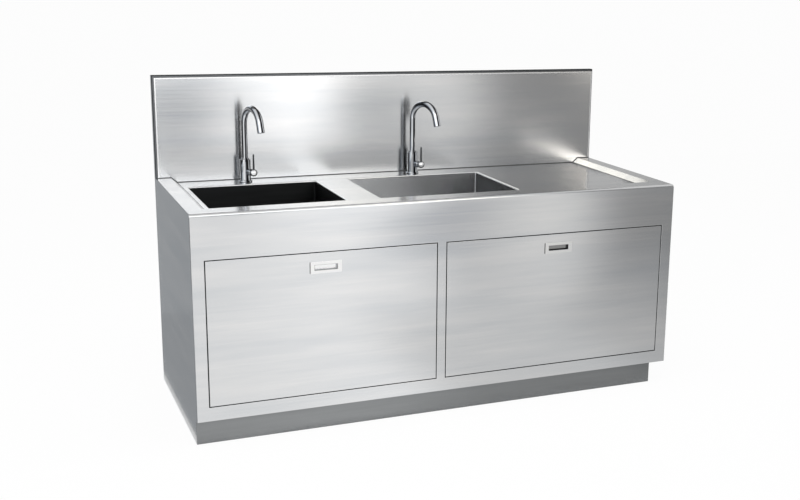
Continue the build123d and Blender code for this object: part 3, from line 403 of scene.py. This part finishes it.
def lever_painted_highlight():
    """Chromium plate of a mixer lever, with painted reflections: a pale knob with a dark rim, and a dark
    handle above it.

    The knob is given a painted highlight: pale where it faces forward, a little left and up, and dark where
    it turns from there.
    """
    material, tree, shader = new_material("chrome_plate_lever")
    place = add(tree, "ShaderNodeTexCoord")
    spot = add(tree, "ShaderNodeSeparateXYZ", links={"Vector": place.outputs["Object"]})
    # Painted highlight: the knob is pale where it faces one fixed way, and dark around that
    facing = add(
        tree,
        "ShaderNodeVectorMath",
        {"operation": "DOT_PRODUCT", 1: (-0.25, -0.93, 0.26)},
        {0: place.outputs["Normal"]},
    )
    knob_painted_highlight = add(
        tree, "ShaderNodeMapRange", {"From Min": 0.55, "From Max": 0.8}, {"Value": facing.outputs["Value"]}
    )
    knob = add(
        tree,
        "ShaderNodeMix",
        {"data_type": "RGBA", "A": linear("#1A1B1D"), "B": linear("#F4F5F6")},
        {"Factor": knob_painted_highlight.outputs["Result"]},
    )
    above = add(tree, "ShaderNodeMath", {"operation": "GREATER_THAN", 1: knob_top_z}, {0: spot.outputs["Z"]})
    # Painted reflection: the handle above the knob is dark grey
    colour = add(
        tree,
        "ShaderNodeMix",
        {"data_type": "RGBA", "B": linear("#4A4C4F")},
        {"Factor": above.outputs[0], "A": knob.outputs["Result"]},
    )
    tree.links.new(colour.outputs["Result"], shader.inputs["Base Color"])
    shader.inputs["Metallic"].default_value = 1.0
    shader.inputs["Roughness"].default_value = 0.12
    return material


def fine_grit(name, dark, light, roughness, metallic=0.0, grit_mm=0.6, grit=0.15, blotch_mm=60.0):
    """A moulded, plated or drawn finish: a slow drift of tone and a fine grit in the surface."""
    material, tree, shader = new_material(name)
    place = add(tree, "ShaderNodeTexCoord")
    drift = add(
        tree,
        "ShaderNodeTexNoise",
        {"Scale": 1000.0 / blotch_mm, "Detail": 2.0},
        {"Vector": place.outputs["Object"]},
    )
    tone = add(
        tree,
        "ShaderNodeMapRange",
        {"From Min": 0.35, "From Max": 0.65},
        {"Value": drift.outputs["Fac"]},
    )
    colour = add(
        tree,
        "ShaderNodeMix",
        {"data_type": "RGBA", "A": linear(dark), "B": linear(light)},
        {"Factor": tone.outputs["Result"]},
    )
    tree.links.new(colour.outputs["Result"], shader.inputs["Base Color"])
    shader.inputs["Metallic"].default_value = metallic
    shader.inputs["Roughness"].default_value = roughness
    noise = add(
        tree,
        "ShaderNodeTexNoise",
        {"Scale": 1000.0 / grit_mm, "Detail": 2.0},
        {"Vector": place.outputs["Object"]},
    )
    bump = add(
        tree,
        "ShaderNodeBump",
        {"Strength": grit, "Distance": 0.0004},
        {"Height": noise.outputs["Fac"]},
    )
    tree.links.new(bump.outputs["Normal"], shader.inputs["Normal"])
    return material


def plywood():
    """Sealed birch plywood under the deck: level grain, pale brown, barely glossy."""
    material, tree, shader = new_material("birch_plywood_sealed")
    grain = add(
        tree,
        "ShaderNodeTexNoise",
        {"Scale": 1.0, "Detail": 4.0},
        {"Vector": along_the_brushing(tree, 6.0, 120.0)},
    )
    colour = add(
        tree,
        "ShaderNodeMix",
        {"data_type": "RGBA", "A": linear("#A98A5E"), "B": linear("#C9AC80")},
        {"Factor": grain.outputs["Fac"]},
    )
    tree.links.new(colour.outputs["Result"], shader.inputs["Base Color"])
    shader.inputs["Roughness"].default_value = 0.6
    return material


def pull_painted_shade(name, left_x, plate, wall, floor):
    """Satin steel flush pull: a fine satin plate, and a pressed cup behind it, duller by painted shade.

    The painted shade runs with depth behind the plate's face: the plate, the cup's walls, the cup's floor.
    A painted shadow line lies on the plate's left edge, and a painted shade line on the mouth's edge. For the
    second, two distances are taken: how far X and Z lie outside the mouth's half width and half height.
    Where the larger one is within 0.6 mm of nought the line is full, and by 1.3 mm it has faded out.
    """
    material, tree, shader = new_material(name)
    place = add(tree, "ShaderNodeTexCoord")
    spot = add(tree, "ShaderNodeSeparateXYZ", links={"Vector": place.outputs["Object"]})
    depth = add(
        tree,
        "ShaderNodeMapRange",
        {"From Min": pull_face_y, "From Max": pull_face_y + pull_cup_depth},
        {"Value": spot.outputs["Y"]},
    )
    ramp = add(tree, "ShaderNodeValToRGB", links={"Fac": depth.outputs["Result"]})
    # Painted shade: the plate, the cup's walls and its floor take their tones by depth
    painted_tones = [(0.0, plate), (0.1, plate), (0.2, wall), (0.9, wall), (0.97, floor)]
    fill_ramp(ramp, [(share, linear(tone)) for share, tone in painted_tones])
    grain = add(
        tree,
        "ShaderNodeTexNoise",
        {"Scale": 1.0, "Detail": 3.0},
        {"Vector": along_the_brushing(tree, 8.0, 400.0)},
    )
    colour = add(
        tree,
        "ShaderNodeMix",
        {"data_type": "RGBA", "blend_type": "MULTIPLY", "Factor": 0.12},
        {"A": ramp.outputs["Color"], "B": grain.outputs["Color"]},
    )
    tree.links.new(colour.outputs["Result"], shader.inputs["Base Color"])
    shader.inputs["Metallic"].default_value = 1.0
    shader.inputs["Roughness"].default_value = 0.26
    # Painted shadow: a dark line on the plate's left edge
    rim = add(
        tree,
        "ShaderNodeMapRange",
        {"From Min": left_x + 0.0018, "From Max": left_x + 0.0026, "To Min": 0.85, "To Max": 0.0},
        {"Value": spot.outputs["X"]},
    )
    off_x = add(
        tree,
        "ShaderNodeMath",
        {"operation": "SUBTRACT", 1: left_x + pull_half_width},
        {0: spot.outputs["X"]},
    )
    off_x = add(tree, "ShaderNodeMath", {"operation": "ABSOLUTE"}, {0: off_x.outputs[0]})
    off_x = add(
        tree, "ShaderNodeMath", {"operation": "SUBTRACT", 1: pull_mouth_half_width}, {0: off_x.outputs[0]}
    )
    off_z = add(tree, "ShaderNodeMath", {"operation": "SUBTRACT", 1: pull_mid_z}, {0: spot.outputs["Z"]})
    off_z = add(tree, "ShaderNodeMath", {"operation": "ABSOLUTE"}, {0: off_z.outputs[0]})
    off_z = add(
        tree, "ShaderNodeMath", {"operation": "SUBTRACT", 1: pull_mouth_half_height}, {0: off_z.outputs[0]}
    )
    mouth = add(tree, "ShaderNodeMath", {"operation": "MAXIMUM"}, {0: off_x.outputs[0], 1: off_z.outputs[0]})
    mouth = add(tree, "ShaderNodeMath", {"operation": "ABSOLUTE"}, {0: mouth.outputs[0]})
    # Painted shade: a dark line along the cup's mouth
    mouth_painted_shade = add(
        tree,
        "ShaderNodeMapRange",
        {"From Min": 0.0006, "From Max": 0.0013, "To Min": 0.55, "To Max": 0.0},
        {"Value": mouth.outputs[0]},
    )
    line = add(
        tree, "ShaderNodeMath", {"operation": "MAXIMUM"}, {0: rim.outputs["Result"], 1: mouth_painted_shade.outputs["Result"]}
    )
    shade(material, "#2A2B2C", line.outputs[0])
    return material


# Stainless steel, fine belt-brushed: pale grey metal, reflections soft and drawn out upright
brushed_sheet = brushed_stainless("stainless_sheet_brushed", *sheet_tones, sheet_roughness)
# The same steel on the plinth, darker in tone and duller in gloss
dull_sheet = brushed_stainless("stainless_plinth_dull", "#8A8C8D", "#949697", 0.42)
# The splashback's sheet mirrors more softly upwards than the rest
splash_sheet = brushed_stainless("stainless_splashback_brushed", *sheet_tones, sheet_roughness, drawn=0.7)
worktop_sheet = worktop_painted_crease_shade()
front_sheet = front_painted_gap_shade()
# Bowl steel after deep polishing of the welds: paler and softer than the sheet, with a right wall darkened by
# painted reflection
bowl_sheet = bowl_painted_reflection()
# Bowl with a nearly black coating, smooth and soft in gloss
bowl_coated = brushed_stainless("stainless_bowl_black_coated", "#2A2B2C", "#353637", 0.40)
# Flush pulls of fine satin steel, paler than the doors, with painted shade in their cups and along their
# edges. The left cup is as bright as its plate, and the right one is painted a dull grey as shade
pull_left = pull_painted_shade("stainless_pull_left", left_pull_x, "#F7F7F6", "#DADCDE", "#FAFAFA")
pull_right = pull_painted_shade("stainless_pull_right", right_pull_x, "#F7F7F6", "#5A5C5E", "#A2A2A1")
# Chromium plate on brass, polished like a mirror: plain on small parts, with painted reflection stripes on
# the tubes
chrome_plate = fine_grit("chrome_plate_polished", "#C4C6C9", "#CACCCF", 0.05, 1.0, grit=0.01)
chrome_painted_stripes = chrome_painted_reflection()
# Chromium plate of the levers, with painted reflections: a pale knob with a dark rim, and a dark handle above
# it
chrome_lever = lever_painted_highlight()
# Zinc-plated and plain steel of the hidden ironwork
plain_steel = fine_grit("steel_zinc_plated", "#B2B5B8", "#BEC1C3", 0.38, 1.0, grit=0.2, blotch_mm=25.0)
# Square tube as it comes from the mill
tube_steel = fine_grit("stainless_tube_mill", "#AEB0B1", "#B9BBBC", 0.34, 1.0)
# Polypropylene waste fittings, moulded white with a faint grit
white_plastic = fine_grit("polypropylene_white_moulded", "#E0E0DD", "#E6E6E3", 0.45)
# Black ABS of the magnet housings and the jet inserts
black_plastic = fine_grit("abs_black_moulded", "#1C1D1E", "#212223", 0.42)
# EPDM rubber rings
rubber_ring = fine_grit("epdm_rubber", "#191919", "#1D1D1D", 0.75, grit=0.3)
board_wood = plywood()

finishes = {
    "steel": brushed_sheet,
    "bowl_dark": bowl_coated,
    "bowl_steel": bowl_sheet,
    "frame_tube": tube_steel,
    "chrome": chrome_plate,
    "pull_steel": pull_left,
    "hinge_steel": plain_steel,
    "board": board_wood,
    "plastic_white": white_plastic,
    "plastic_dark": black_plastic,
    "rubber": rubber_ring,
}
own_finish = {
    "plinth": dull_sheet,
    "right_pull": pull_right,
    "splashback": splash_sheet,
    "worktop": worktop_sheet,
    "face_frame": front_sheet,
    "left_door_skin": front_sheet,
    "right_door_skin": front_sheet,
    "left_spout": chrome_painted_stripes,
    "right_spout": chrome_painted_stripes,
    "left_mixer_body": chrome_painted_stripes,
    "right_mixer_body": chrome_painted_stripes,
    "left_lever": chrome_lever,
    "right_lever": chrome_lever,
    "left_aerator": chrome_painted_stripes,
    "right_aerator": chrome_painted_stripes,
}

for entry in frame["record"]["subparts"]:
    piece = frame["nodes"][entry["node"]]
    finish = own_finish.get(entry["node"], finishes[entry["material_slot"]])
    if not piece.material_slots:
        piece.data.materials.append(finish)
    for material_slot in piece.material_slots:
        material_slot.link = "DATA"
        material_slot.material = finish


def swept_bead(name, path, inward, profile, finish):
    """A bead of one section swept along a flat path on the splashback's face, with mitred corners.

    Each point of the section moves from the path by its first number times the inward way at that
    corner, and stands out from the splashback's face by its second number.
    """
    path, inward, profile = (np.array(v, dtype=float) for v in (path, inward, profile))
    w, proud = profile[:, 0], profile[:, 1]
    rows, ring = len(path), len(profile)
    x = path[:, None, 0] + inward[:, None, 0] * w
    z = path[:, None, 1] + inward[:, None, 1] * w
    y = np.broadcast_to(splash_face_y - proud, x.shape)
    points = np.stack([x, y, z], axis=-1).reshape(-1, 3)
    row, step = np.meshgrid(np.arange(rows - 1), np.arange(ring), indexing="ij")
    after = (step + 1) % ring
    near, far = row * ring, (row + 1) * ring
    faces = np.stack([near + step, near + after, far + after, far + step], axis=-1).reshape(-1, 4).tolist()
    faces.append(list(range(ring))[::-1])
    faces.append(list(range((rows - 1) * ring, rows * ring)))
    mesh = bpy.data.meshes.new(name)
    mesh.from_pydata(points.tolist(), [], faces)
    mesh.update()
    if outward_share(mesh) < 0:
        mesh.flip_normals()
    mesh.materials.append(finish)
    bead = bpy.data.objects.new(name, mesh)
    bpy.context.scene.collection.objects.link(bead)
    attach(bead, "cabinet")


def outward_share(mesh):
    """The signed volume of a closed mesh, positive where its faces point outwards."""
    mesh.calc_loop_triangles()
    corners = np.empty(len(mesh.vertices) * 3)
    mesh.vertices.foreach_get("co", corners)
    corners = corners.reshape(-1, 3)
    order = np.empty(len(mesh.loop_triangles) * 3, dtype=int)
    mesh.loop_triangles.foreach_get("vertices", order)
    a, b, c = corners[order].reshape(-1, 3, 3).transpose(1, 0, 2)
    return float(np.einsum("ij,ij->i", a, np.cross(b, c)).sum() / 6)


def rolled_edge_painted_reflection():
    """Rolled steel edge with painted reflections: dark where it turns away at the outside, and a painted
    highlight along its inner side.
    """
    material, tree, shader = new_material("stainless_rolled_edge")
    place = add(tree, "ShaderNodeTexCoord")
    spot = add(tree, "ShaderNodeSeparateXYZ", links={"Vector": place.outputs["Object"]})
    left = add(tree, "ShaderNodeMath", {"operation": "ADD", 1: half_width}, {0: spot.outputs["X"]})
    right = add(tree, "ShaderNodeMath", {"operation": "SUBTRACT", 0: half_width}, {1: spot.outputs["X"]})
    right = add(tree, "ShaderNodeMath", {"operation": "DIVIDE", 1: right_edge_share}, {0: right.outputs[0]})
    under = add(tree, "ShaderNodeMath", {"operation": "SUBTRACT", 0: top_z}, {1: spot.outputs["Z"]})
    inside = add(tree, "ShaderNodeMath", {"operation": "MINIMUM"}, {0: left.outputs[0], 1: right.outputs[0]})
    inside = add(
        tree,
        "ShaderNodeMath",
        {"operation": "MINIMUM"},
        {0: inside.outputs[0], 1: under.outputs[0]},
    )
    share = add(tree, "ShaderNodeMapRange", {"From Max": edge_width}, {"Value": inside.outputs[0]})
    ramp = add(tree, "ShaderNodeValToRGB", links={"Fac": share.outputs["Result"]})
    # Painted reflections: dark bands at the outside, and a white painted highlight on the inner side
    painted_tones = [(0.0, "#2A2B2C"), (0.16, "#3C3E40"), (0.24, "#6C6E70"), (0.62, "#6E7072"), (0.7, "#FFFFFF")]
    fill_ramp(ramp, [(part, linear(tone)) for part, tone in painted_tones])
    tree.links.new(ramp.outputs["Color"], shader.inputs["Base Color"])
    shader.inputs["Metallic"].default_value = 1.0
    shader.inputs["Roughness"].default_value = 0.35
    return material


# The splashback's edge is rolled over at the left, the top and the right
swept_bead(
    "splash_rolled_edge",
    [
        (-half_width, rim_z + bead_gap),
        (-half_width, top_z),
        (half_width, top_z),
        (half_width, rim_z + bead_gap),
    ],
    [(1.0, 0.0), (1.0, -1.0), (-right_edge_share, -1.0), (-right_edge_share, 0.0)],
    [
        (0.0001, -0.0023),
        (0.0001, -0.0005),
        (0.0006, 0.0008),
        (0.0016, 0.0014),
        (0.0030, 0.0015),
        (0.0080, 0.0015),
        (0.0132, 0.0015),
        (0.0138, 0.0010),
        (0.0140, -0.0003),
        (0.0080, -0.0006),
        (0.0030, -0.0010),
    ],
    rolled_edge_painted_reflection(),
)
# A thin bead of sealant runs along the splashback's foot, over the rims and down to the deck. Its dark grey
# is painted shade for the crease there
swept_bead(
    "splash_foot_seal",
    [
        (-half_width + bead_gap, rim_z),
        (-deck_half - slope_run, rim_z),
        (-deck_half, deck_z),
        (deck_half, deck_z),
        (deck_half + slope_run, rim_z),
        (half_width - bead_gap, rim_z),
    ],
    [(0.0, 1.0), (0.35, 1.0), (0.35, 1.0), (-0.35, 1.0), (-0.35, 1.0), (0.0, 1.0)],
    [
        (-0.0004, -0.0003),
        (-0.0004, 0.0026),
        (0.0005, 0.0024),
        (0.0016, 0.0016),
        (0.0024, 0.0005),
        (0.0026, -0.0003),
    ],
    fine_grit("silicone_sealant_painted_shade", "#2C2D2E", "#323334", 0.5),
)


def flat_sheet(name, corner, along, up, material):
    """A flat sheet of the studio, with four points: a corner, and the same moved along, up and both."""
    corner, along, up = (np.array(v, dtype=float) for v in (corner, along, up))
    points = np.stack([corner, corner + along, corner + along + up, corner + up])
    mesh = bpy.data.meshes.new(name)
    mesh.from_pydata(points.tolist(), [], [(0, 1, 2, 3)])
    mesh.materials.append(material)
    sheet = bpy.data.objects.new(name, mesh)
    bpy.context.scene.collection.objects.link(sheet)
    return sheet


def floor_paint(white_share):
    """Matt pale floor paint. To the camera it glows up to white, and still takes the shadow."""
    material, tree, shader = new_material("studio_floor_paint")
    shader.inputs["Base Color"].default_value = linear("#F2F2F2")
    shader.inputs["Roughness"].default_value = 0.9
    ray = add(tree, "ShaderNodeLightPath")
    white = add(tree, "ShaderNodeEmission", {"Color": (1.0, 1.0, 1.0, 1.0), "Strength": 1.0})
    share = add(
        tree, "ShaderNodeMath", {"operation": "MULTIPLY", 1: white_share}, {0: ray.outputs["Is Camera Ray"]}
    )
    both = add(
        tree,
        "ShaderNodeMixShader",
        links={0: share.outputs[0], 1: shader.outputs["BSDF"], 2: white.outputs["Emission"]},
    )
    output = next(made for made in tree.nodes if made.bl_idname == "ShaderNodeOutputMaterial")
    tree.links.new(both.outputs["Shader"], output.inputs["Surface"])
    return material


flat_sheet(
    "studio_floor",
    (-floor_reach, -floor_reach, 0.0),
    (2 * floor_reach, 0.0, 0.0),
    (0.0, 2 * floor_reach, 0.0),
    floor_paint(floor_white_share),
)


def reflector_cloth(name, axis, stops, tint=(1.0, 1.0, 1.0), spots=(), from_above=False):
    """Cloth that glows: its level runs along one axis through stops, and soft spots change it.

    A stop is a place in metres and a level. A spot is a centre, its reach along X, Y and Z, a level
    and how much of that level shows at its centre, falling to none at its rim. Cloth for a card just
    over the worktop is clear from underneath, so that what lies below it mirrors the rest.
    """
    material, tree = empty_material(name)
    low, high = stops[0][0], stops[-1][0]
    place = add(tree, "ShaderNodeTexCoord")
    spot = add(tree, "ShaderNodeSeparateXYZ", links={"Vector": place.outputs["Object"]})
    share = add(
        tree,
        "ShaderNodeMapRange",
        {"From Min": low, "From Max": high},
        {"Value": spot.outputs[axis]},
    )
    ramp = add(tree, "ShaderNodeValToRGB", links={"Fac": share.outputs["Result"]})
    ramp.color_ramp.interpolation = "EASE"
    fill_ramp(
        ramp,
        [((at - low) / (high - low), tuple(level * part for part in tint) + (1.0,)) for at, level in stops],
    )
    colour = ramp.outputs["Color"]
    for centre, reach, level, strength in spots:
        scale = tuple(1.0 / r for r in reach)
        moved = add(
            tree,
            "ShaderNodeMapping",
            {"Location": tuple(-c * s for c, s in zip(centre, scale)), "Scale": scale},
            {"Vector": place.outputs["Object"]},
        )
        ball = add(
            tree,
            "ShaderNodeTexGradient",
            {"gradient_type": "SPHERICAL"},
            {"Vector": moved.outputs["Vector"]},
        )
        soft = add(
            tree,
            "ShaderNodeMapRange",
            {"interpolation_type": "SMOOTHERSTEP", "To Max": strength},
            {"Value": ball.outputs["Fac"]},
        )
        blend = add(
            tree,
            "ShaderNodeMix",
            {"data_type": "RGBA", "B": (*level, 1.0)},
            {"Factor": soft.outputs["Result"], "A": colour},
        )
        colour = blend.outputs["Result"]
    seen = add(tree, "ShaderNodeEmission", {"Strength": 1.0}, {"Color": colour}).outputs["Emission"]
    if from_above:
        side = add(tree, "ShaderNodeNewGeometry").outputs["Backfacing"]
        clear = add(tree, "ShaderNodeBsdfTransparent").outputs["BSDF"]
        seen = add(tree, "ShaderNodeMixShader", links={0: side, 1: seen, 2: clear}).outputs["Shader"]
    add(tree, "ShaderNodeOutputMaterial", links={"Surface": seen})
    return material


def reflector(name, corner, along, up, cloth):
    """A flat screen that only polished metal sees."""
    screen = flat_sheet(name, corner, along, up, cloth)
    screen.visible_camera = False
    screen.visible_diffuse = False
    screen.visible_shadow = False
    screen.visible_transmission = False


# The screens and cards from here on are staged, and only mirrors see them. They stand for the
# room that the photograph's metal mirrors, and their levels were set by comparing tones.
# In front, low: what the fronts and the splashback mirror. Bright on the left, a soft grey dip in
# the middle, and grey at the right
low_stops = [
    (-3.0, 0.80),
    (-0.75, 0.90),
    (-0.10, 1.02),
    (0.18, 0.98),
    (0.62, 0.68),
    (1.02, 0.76),
    (1.45, 0.29),
    (2.00, 0.25),
    (4.0, 0.28),
]
low_spots = [
    # A bright band that softens the top of the front rail into the worktop's bend
    ((-0.20, screen_y, 0.57), (0.95, 1.0, 0.08), (1.35, 1.35, 1.37), 1.0),
    # A broad bright cloud for the middle of the splashback's left half
    ((0.14, screen_y, 0.88), (0.40, 1.0, 0.42), (1.66, 1.66, 1.66), 0.9),
    # A grey cloud that the splashback's top left corner shows
    ((-0.52, screen_y, 0.86), (0.44, 1.0, 0.40), (0.08, 0.10, 0.13), 1.0),
    # A grey band in the middle, for the front rail and for the splashback left of the right tap
    ((0.38, screen_y, 0.43), (0.48, 1.0, 0.18), (0.28, 0.30, 0.34), 0.92),
    ((0.53, screen_y, 0.82), (0.36, 1.0, 0.26), (0.34, 0.35, 0.36), 0.95),
    # A warm glow in the middle of the front rail's right half
    ((0.98, screen_y, 0.46), (0.34, 1.0, 0.14), (1.00, 0.97, 0.92), 0.6),
    # A lift for the splashback's right half, over the drainboard
    ((1.50, screen_y, 0.63), (0.60, 1.0, 0.14), (0.44, 0.44, 0.44), 0.9),
    # A lift low at the right, for the upper right of the right door
    ((1.50, screen_y, 0.02), (0.55, 1.0, 0.30), (0.43, 0.44, 0.45), 0.9),
]
reflector(
    "reflector_front_low",
    (screen_left, screen_y, 0.0),
    (screen_width, 0.0, 0.0),
    (0.0, 0.0, screen_seam_z),
    reflector_cloth("reflector_cloth_low", "X", low_stops, spots=low_spots),
)
# In front, high: what the deck and the rim mirror by way of the splashback
high_stops = [(-3.0, 1.45), (-0.5, 1.80), (0.2, 1.60), (0.8, 1.05), (1.35, 0.28), (4.0, 0.24)]
high_spots = [
    # Dimmer towards the top, so that the right bowl doesn't blow out from above
    ((-0.40, screen_y, 2.42), (1.60, 1.0, 0.66), (0.70, 0.70, 0.70), 1.0),
    # A warm window that the right slope catches
    ((0.50, screen_y, 1.95), (0.80, 1.0, 0.60), (2.9, 2.75, 2.45), 1.0),
    # A warm glow that the right rim shows to the splashback's lower right corner
    ((2.00, screen_y, 1.22), (0.35, 1.0, 0.28), (2.50, 2.32, 2.08), 1.0),
]
reflector(
    "reflector_front_high",
    (screen_left, screen_y, screen_seam_z),
    (screen_width, 0.0, 0.0),
    (0.0, 0.0, screen_rise),
    reflector_cloth("reflector_cloth_high", "X", high_stops, spots=high_spots),
)
# On the floor in front, for the lower half of the doors, which face it
floor_stops = [
    (-3.0, 0.80),
    (-0.8, 0.90),
    (-0.15, 1.0),
    (0.22, 0.70),
    (0.7, 0.68),
    (1.1, 0.53),
    (1.6, 0.42),
    (4.0, 0.40),
]
reflector(
    "reflector_floor_front",
    (screen_left, screen_y, 0.003),
    (screen_width, 0.0, 0.0),
    (0.0, 1.14, 0.0),
    reflector_cloth("reflector_cloth_floor", "X", floor_stops),
)
# At the left: a grey flag on the floor and one behind it, which the left side shows
left_grey = reflector_cloth("reflector_cloth_left", "X", [(-4.0, 0.34), (-0.9, 0.34)], (0.94, 0.98, 1.02))
left_dim = reflector_cloth(
    "reflector_cloth_left_floor",
    "X",
    [(-4.0, 0.31), (-0.9, 0.31)],
    (0.94, 0.98, 1.02),
)
reflector("reflector_floor_left", (-3.0, -2.0, 0.004), (2.09, 0.0, 0.0), (0.0, 3.2, 0.0), left_dim)
reflector("reflector_left", (-4.0, 1.2, 0.0), (3.05, 0.0, 0.0), (0.0, 0.0, 2.4), left_grey)
# The floor far to the left and right is dark to the taps, and gives them their dark stripes
far_dark = reflector_cloth("reflector_cloth_far", "X", [(-9.0, 0.03), (9.0, 0.03)])
reflector("reflector_far_left", (-9.0, -4.5, 0.005), (6.0, 0.0, 0.0), (0.0, 9.0, 0.0), far_dark)
reflector("reflector_far_right", (3.0, -4.5, 0.005), (6.0, 0.0, 0.0), (0.0, 9.0, 0.0), far_dark)
# Just behind the splashback's top: a dark flag that gives the top edge its dark line
behind_dark = reflector_cloth("reflector_cloth_behind", "X", [(-2.5, 0.10), (2.4, 0.10)])
reflector("reflector_behind", (-1.1, 0.6, 1.165), (2.5, 0.0, 0.0), (0.0, 0.0, 1.2), behind_dark)
# Behind at the right: grey, for the right rim and the drainboard's end, which show it past the splashback
behind_stops = [(1.2, 0.60), (2.0, 0.52), (2.5, 0.40), (4.0, 0.40)]
behind_grey = reflector_cloth("reflector_cloth_behind_right", "X", behind_stops)
reflector("reflector_behind_right", (1.2, 2.0, 0.85), (2.8, 0.0, 0.0), (0.0, 0.0, 1.6), behind_grey)


# Cards just over the worktop, seen only from above and only in mirrors. Over the bowls they stand
# for pale bowls, so that the splashback and the taps don't mirror the black one as a dark stain
for name, (low, high), level in (("mouth_left", left_mouth, 0.85), ("mouth_right", right_mouth, 0.42)):
    cloth = reflector_cloth(
        "reflector_cloth_" + name,
        "X",
        [(-half_width, level), (half_width, level)],
        from_above=True,
    )
    across, deep = high[0] - low[0], high[1] - low[1]
    reflector("reflector_" + name, (*low, deck_z + over_deck), (across, 0.0, 0.0), (0.0, deep, 0.0), cloth)
# Over the right slope and rim, for the bright streak that runs up the splashback from that corner
streak_stops = [(-0.25, 0.85), (-0.05, 1.05), (0.15, 1.40), (0.326, 1.60)]
streak = reflector_cloth("reflector_cloth_streak", "Y", streak_stops, (1.0, 0.96, 0.91), from_above=True)
reflector("reflector_streak", (0.80, -0.25, rim_z + over_rim), (0.09, 0.0, 0.0), (0.0, 0.576, 0.0), streak)


def soft_lamp(name, place, target, size, watts):
    """A rectangular softbox that faces a point. Mirrors don't see it: they see the reflectors."""
    lamp = bpy.data.lights.new(name, "AREA")
    lamp.shape = "RECTANGLE"
    lamp.size, lamp.size_y = size
    lamp.energy = watts
    holder = bpy.data.objects.new(name, lamp)
    holder.location = place
    holder.rotation_euler = (Vector(target) - Vector(place)).to_track_quat("-Z", "Y").to_euler()
    holder.visible_glossy = False
    bpy.context.scene.collection.objects.link(holder)


soft_lamp("lamp_overhead", (-0.2, -0.6, 3.6), (0.0, 0.0, 0.6), (3.4, 1.6), 55.0)
soft_lamp("lamp_front_left", (-2.6, -4.2, 2.6), (0.0, 0.0, 0.6), (2.0, 2.0), 60.0)


def studio_world(white, fill):
    """Pale to the camera, to mirrors and through glass, and a softer fill on everything else.

    Mirrors see one strength low down and a lower one overhead. The camera sees the larger of 1 and
    what mirrors see that way, so low down it sees a little more than white.
    """
    world = bpy.data.worlds.new("studio_white")
    bpy.context.scene.world = world
    world.use_nodes = True
    sky = world.node_tree
    sky.nodes.clear()
    ray = add(sky, "ShaderNodeLightPath")
    seen = add(
        sky,
        "ShaderNodeMath",
        {"operation": "MAXIMUM"},
        {0: ray.outputs["Is Camera Ray"], 1: ray.outputs["Is Glossy Ray"]},
    )
    seen = add(
        sky,
        "ShaderNodeMath",
        {"operation": "MAXIMUM"},
        {0: seen.outputs[0], 1: ray.outputs["Is Transmission Ray"]},
    )
    way = add(sky, "ShaderNodeTexCoord")
    rise = add(sky, "ShaderNodeSeparateXYZ", links={"Vector": way.outputs["Generated"]})
    mirror = add(
        sky,
        "ShaderNodeMapRange",
        {
            "From Min": mirror_rise[0],
            "From Max": mirror_rise[1],
            "To Min": mirror_low,
            "To Max": mirror_overhead,
        },
        {"Value": rise.outputs["Z"]},
    )
    camera = add(
        sky,
        "ShaderNodeMath",
        {"operation": "MAXIMUM"},
        {0: ray.outputs["Is Camera Ray"], 1: mirror.outputs["Result"]},
    )
    top = add(sky, "ShaderNodeMath", {"operation": "MULTIPLY", 1: white}, {0: camera.outputs[0]})
    strength = add(
        sky, "ShaderNodeMapRange", {"To Min": fill}, {"Value": seen.outputs[0], "To Max": top.outputs[0]}
    )
    back = add(
        sky, "ShaderNodeBackground", {"Color": (1.0, 1.0, 1.0, 1.0)}, {"Strength": strength.outputs["Result"]}
    )
    add(sky, "ShaderNodeOutputWorld", links={"Surface": back.outputs["Background"]})


studio_world(world_white, world_fill)


def photo_camera():
    """The camera fitted to the photograph's edges: place, turn, tilt, roll and lens."""
    yaw, pitch, roll = (math.radians(v) for v in (camera_yaw, camera_pitch, camera_roll))
    ahead = Vector((math.sin(yaw) * math.cos(pitch), math.cos(yaw) * math.cos(pitch), -math.sin(pitch)))
    right = Vector((math.cos(yaw), -math.sin(yaw), 0.0))
    up = right.cross(ahead)
    right, up = (
        right * math.cos(roll) + up * math.sin(roll),
        -right * math.sin(roll) + up * math.cos(roll),
    )
    turn = Matrix((right, up, -ahead)).transposed().to_4x4()
    lens = bpy.data.cameras.new("photo_camera")
    lens.sensor_width = sensor_mm
    lens.lens = sensor_mm * lens_px / photo_width
    lens.shift_x = shift_px / photo_width
    lens.clip_end = 200.0
    holder = bpy.data.objects.new("photo_camera", lens)
    holder.matrix_world = Matrix.Translation(camera_place) @ turn
    bpy.context.scene.collection.objects.link(holder)
    bpy.context.scene.camera = holder


photo_camera()
bpy.context.scene.view_settings.view_transform = "Standard"
